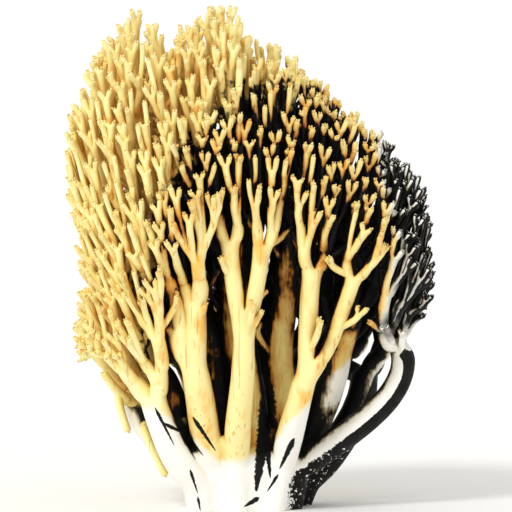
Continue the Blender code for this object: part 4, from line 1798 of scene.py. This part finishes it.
def teeth_on_tips(tree, into, skin):
    """Small cones round every tip of the skin."""
    mark = {0: named(tree, "tip", "FLOAT"), 1: TIP_MARK}
    is_tip = node(tree, "FunctionNodeCompare", mark, operation="GREATER_THAN").outputs[0]
    points = node(tree, "GeometryNodeMeshToPoints", {"Mesh": skin, "Selection": is_tip}).outputs[0]
    copies = {"Geometry": points, "Amount": into["Teeth Per Tip"]}
    several = node(tree, "GeometryNodeDuplicateElements", copies, domain="POINT").outputs
    aim = named(tree, "aim", "FLOAT_VECTOR")
    stand = node(tree, "FunctionNodeAlignRotationToVector", {"Vector": aim}, axis="Z").outputs[0]
    turn = maths(tree, "MULTIPLY", several[1], maths(tree, "DIVIDE", math.tau, into["Teeth Per Tip"]))
    turn = maths(tree, "ADD", turn, by_lot(tree, 0.0, TOOTH_TURN, into["Seed"]))
    spin = node(tree, "FunctionNodeAxisAngleToRotation", {"Axis": (0, 0, 1), "Angle": turn}).outputs[0]
    facing = turned_by(tree, stand, spin)
    rim = node(tree, "ShaderNodeCombineXYZ", {0: into["Tooth Rim"]}).outputs[0]
    away = node(tree, "FunctionNodeRotateVector", {"Vector": rim, "Rotation": facing}).outputs[0]
    lean = node(tree, "FunctionNodeEulerToRotation", {0: (0, TOOTH_LEAN, 0)}).outputs[0]
    tooth = node(tree, "GeometryNodeMeshCone", {
        "Vertices": TOOTH_SIDES,
        "Radius Bottom": into["Tooth Radius"],
        "Radius Top": maths(tree, "MULTIPLY", into["Tooth Radius"], TOOTH_TAPER),
        "Depth": into["Tooth Height"],
    }).outputs[0]
    return node(tree, "GeometryNodeInstanceOnPoints", {
        "Points": moved(tree, several[0], away),
        "Instance": tooth,
        "Rotation": turned_by(tree, facing, lean),
        "Scale": by_lot(tree, *TOOTH_SIZES, maths(tree, "ADD", into["Seed"], 1)),
    }).outputs[0]


print("a tooth is a cone of", TOOTH_SIDES, "sides that leans", round(math.degrees(TOOTH_LEAN)), "degrees")

# %% [markdown]
# Skin and teeth are joined in one tree with named inputs, so a number on the modifier changes the whole
# fungus. The tree ends by making the instances real and giving everything its material. Each limb is
# rounded by one level of subdivision first, and then the result of all modifiers is kept as a plain mesh.

# %% Relief and teeth on every piece
TEETH_A_TIP = 2
TOOTH_RADIUS = 0.4
TOOTH_HEIGHT = 0.75
TOOTH_RIM = 0.3
LUMP_SIZE = 5.0
STEM_LUMP_SIZE = 8.0
LUMP_HEIGHT = 0.07
RIDGE_HEIGHT = 0.03
INPUTS = {
    "Geometry": "Geometry", "Lump Size": "Float", "Lump Height": "Float", "Ridge Height": "Float",
    "Tooth Radius": "Float", "Tooth Height": "Float", "Tooth Rim": "Float", "Teeth Per Tip": "Int",
    "Seed": "Int", "Material": "Material",
}


def relief_tree():
    """Relief along the skin and teeth on its tips, each with its size as an input."""
    tree = bpy.data.node_groups.new("flesh_relief_and_teeth", "GeometryNodeTree")
    for name, kind in INPUTS.items():
        tree.interface.new_socket(name, in_out="INPUT", socket_type=f"NodeSocket{kind}")
    tree.interface.new_socket("Geometry", in_out="OUTPUT", socket_type="NodeSocketGeometry")
    into = node(tree, "NodeGroupInput").outputs
    out = node(tree, "NodeGroupOutput")
    skin = lumps_and_ridges(tree, into)
    both = node(tree, "GeometryNodeJoinGeometry")
    tree.links.new(teeth_on_tips(tree, into, skin), both.inputs[0])
    tree.links.new(skin, both.inputs[0])
    real = node(tree, "GeometryNodeRealizeInstances", {"Geometry": both.outputs[0]}).outputs[0]
    smooth = node(tree, "GeometryNodeSetShadeSmooth", {"Geometry": real}).outputs[0]
    finish = {"Geometry": smooth, "Material": into["Material"]}
    tree.links.new(node(tree, "GeometryNodeSetMaterial", finish).outputs[0], out.inputs[0])
    return tree


RELIEF = relief_tree()


def add_relief(piece, finish, lump_size, teeth):
    """Sets the tree on a piece, with its inputs found by the sockets' identifiers."""
    change = piece.modifiers.new("relief", "NODES")
    change.node_group = RELIEF
    values = {
        "Lump Size": lump_size * MM, "Lump Height": LUMP_HEIGHT * MM, "Ridge Height": RIDGE_HEIGHT * MM,
        "Tooth Radius": TOOTH_RADIUS * MM, "Tooth Height": TOOTH_HEIGHT * MM, "Tooth Rim": TOOTH_RIM * MM,
        "Teeth Per Tip": teeth, "Seed": SEED, "Material": finish,
    }
    for socket in RELIEF.interface.items_tree:
        if socket.in_out == "INPUT" and socket.name in values:
            change[socket.identifier] = values[socket.name]


for name, piece in pieces.items():
    if name == "stem":
        add_relief(piece, stem_flesh, STEM_LUMP_SIZE, 0)
    else:
        rounding = piece.modifiers.new("rounding", "SUBSURF")
        rounding.levels = rounding.render_levels = 1
        add_relief(piece, branch_flesh, LUMP_SIZE, TEETH_A_TIP)
    baked(piece)

triangles = {}
for name, piece in pieces.items():
    triangles[name] = sum(len(face.vertices) - 2 for face in piece.data.polygons)
print("triangles:", triangles, "in all", sum(triangles.values()))

# %% [markdown]
# Every dressed piece stands for one solid, which stays behind it, hidden, for the physics. It rides on the
# root body.

# %% Pieces in place of their solids
for name, piece in pieces.items():
    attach(piece, "root")
    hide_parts(name)
print(len(pieces), "pieces stand in for", len(frame["nodes"]), "solids")

# %% [markdown]
# The fungus stands on a plain pale floor. It is wide enough that its edge is never seen.

# %% The floor
FLOOR_SIZE = 60
FLOOR_COLOUR = (245, 244, 240)
FLOOR_ROUGHNESS = 0.9


def pale_floor():
    """A wide pale square on the ground."""
    mesh = bpy.data.meshes.new("floor")
    reach = FLOOR_SIZE / 2
    corners = [(-reach, -reach, 0), (reach, -reach, 0), (reach, reach, 0), (-reach, reach, 0)]
    mesh.from_pydata(corners, [], [(0, 1, 2, 3)])
    paint = bpy.data.materials.new("floor_paint")
    paint.use_nodes = True
    shader = paint.node_tree.nodes["Principled BSDF"]
    shader.inputs["Base Color"].default_value = linear(*FLOOR_COLOUR)
    shader.inputs["Roughness"].default_value = FLOOR_ROUGHNESS
    mesh.materials.append(paint)
    floor = bpy.data.objects.new("floor", mesh)
    bpy.context.scene.collection.objects.link(floor)


pale_floor()
print("floor", FLOOR_SIZE, "m wide")

# %% [markdown]
# Soft light comes from the upper left, as in the drawing, and a bright sky fills the shadows. The sky is a
# little brighter where the camera looks straight at it, which makes the backdrop as white as the paper. The
# plain view transform keeps whites white, where the usual film look would grey them.

# %% The light
KEY_POWER = 1.45
KEY_SOFTNESS = 14
KEY_DIRECTION = (0.55, 0.75, -0.9)
SKY_POWER = 0.85
BACKDROP_POWER = 1.05


def studio_light():
    """A soft sun from the upper left, and a bright sky."""
    key = bpy.data.lights.new("key_light", "SUN")
    key.energy = KEY_POWER
    key.angle = math.radians(KEY_SOFTNESS)
    lamp = bpy.data.objects.new("key_light", key)
    lamp.rotation_euler = Vector(KEY_DIRECTION).to_track_quat("-Z", "Y").to_euler()
    bpy.context.scene.collection.objects.link(lamp)
    sky = bpy.data.worlds.new("bright_sky")
    sky.use_nodes = True
    light = sky.node_tree.nodes["Background"]
    light.inputs["Color"].default_value = (1, 1, 1, 1)
    seen = node(sky.node_tree, "ShaderNodeLightPath").outputs["Is Camera Ray"]
    power = maths(sky.node_tree, "MULTIPLY_ADD", seen, BACKDROP_POWER - SKY_POWER, SKY_POWER)
    sky.node_tree.links.new(power, light.inputs["Strength"])
    bpy.context.scene.world = sky


studio_light()
bpy.context.scene.view_settings.view_transform = "Standard"
print("key light", KEY_POWER, "and sky", SKY_POWER)
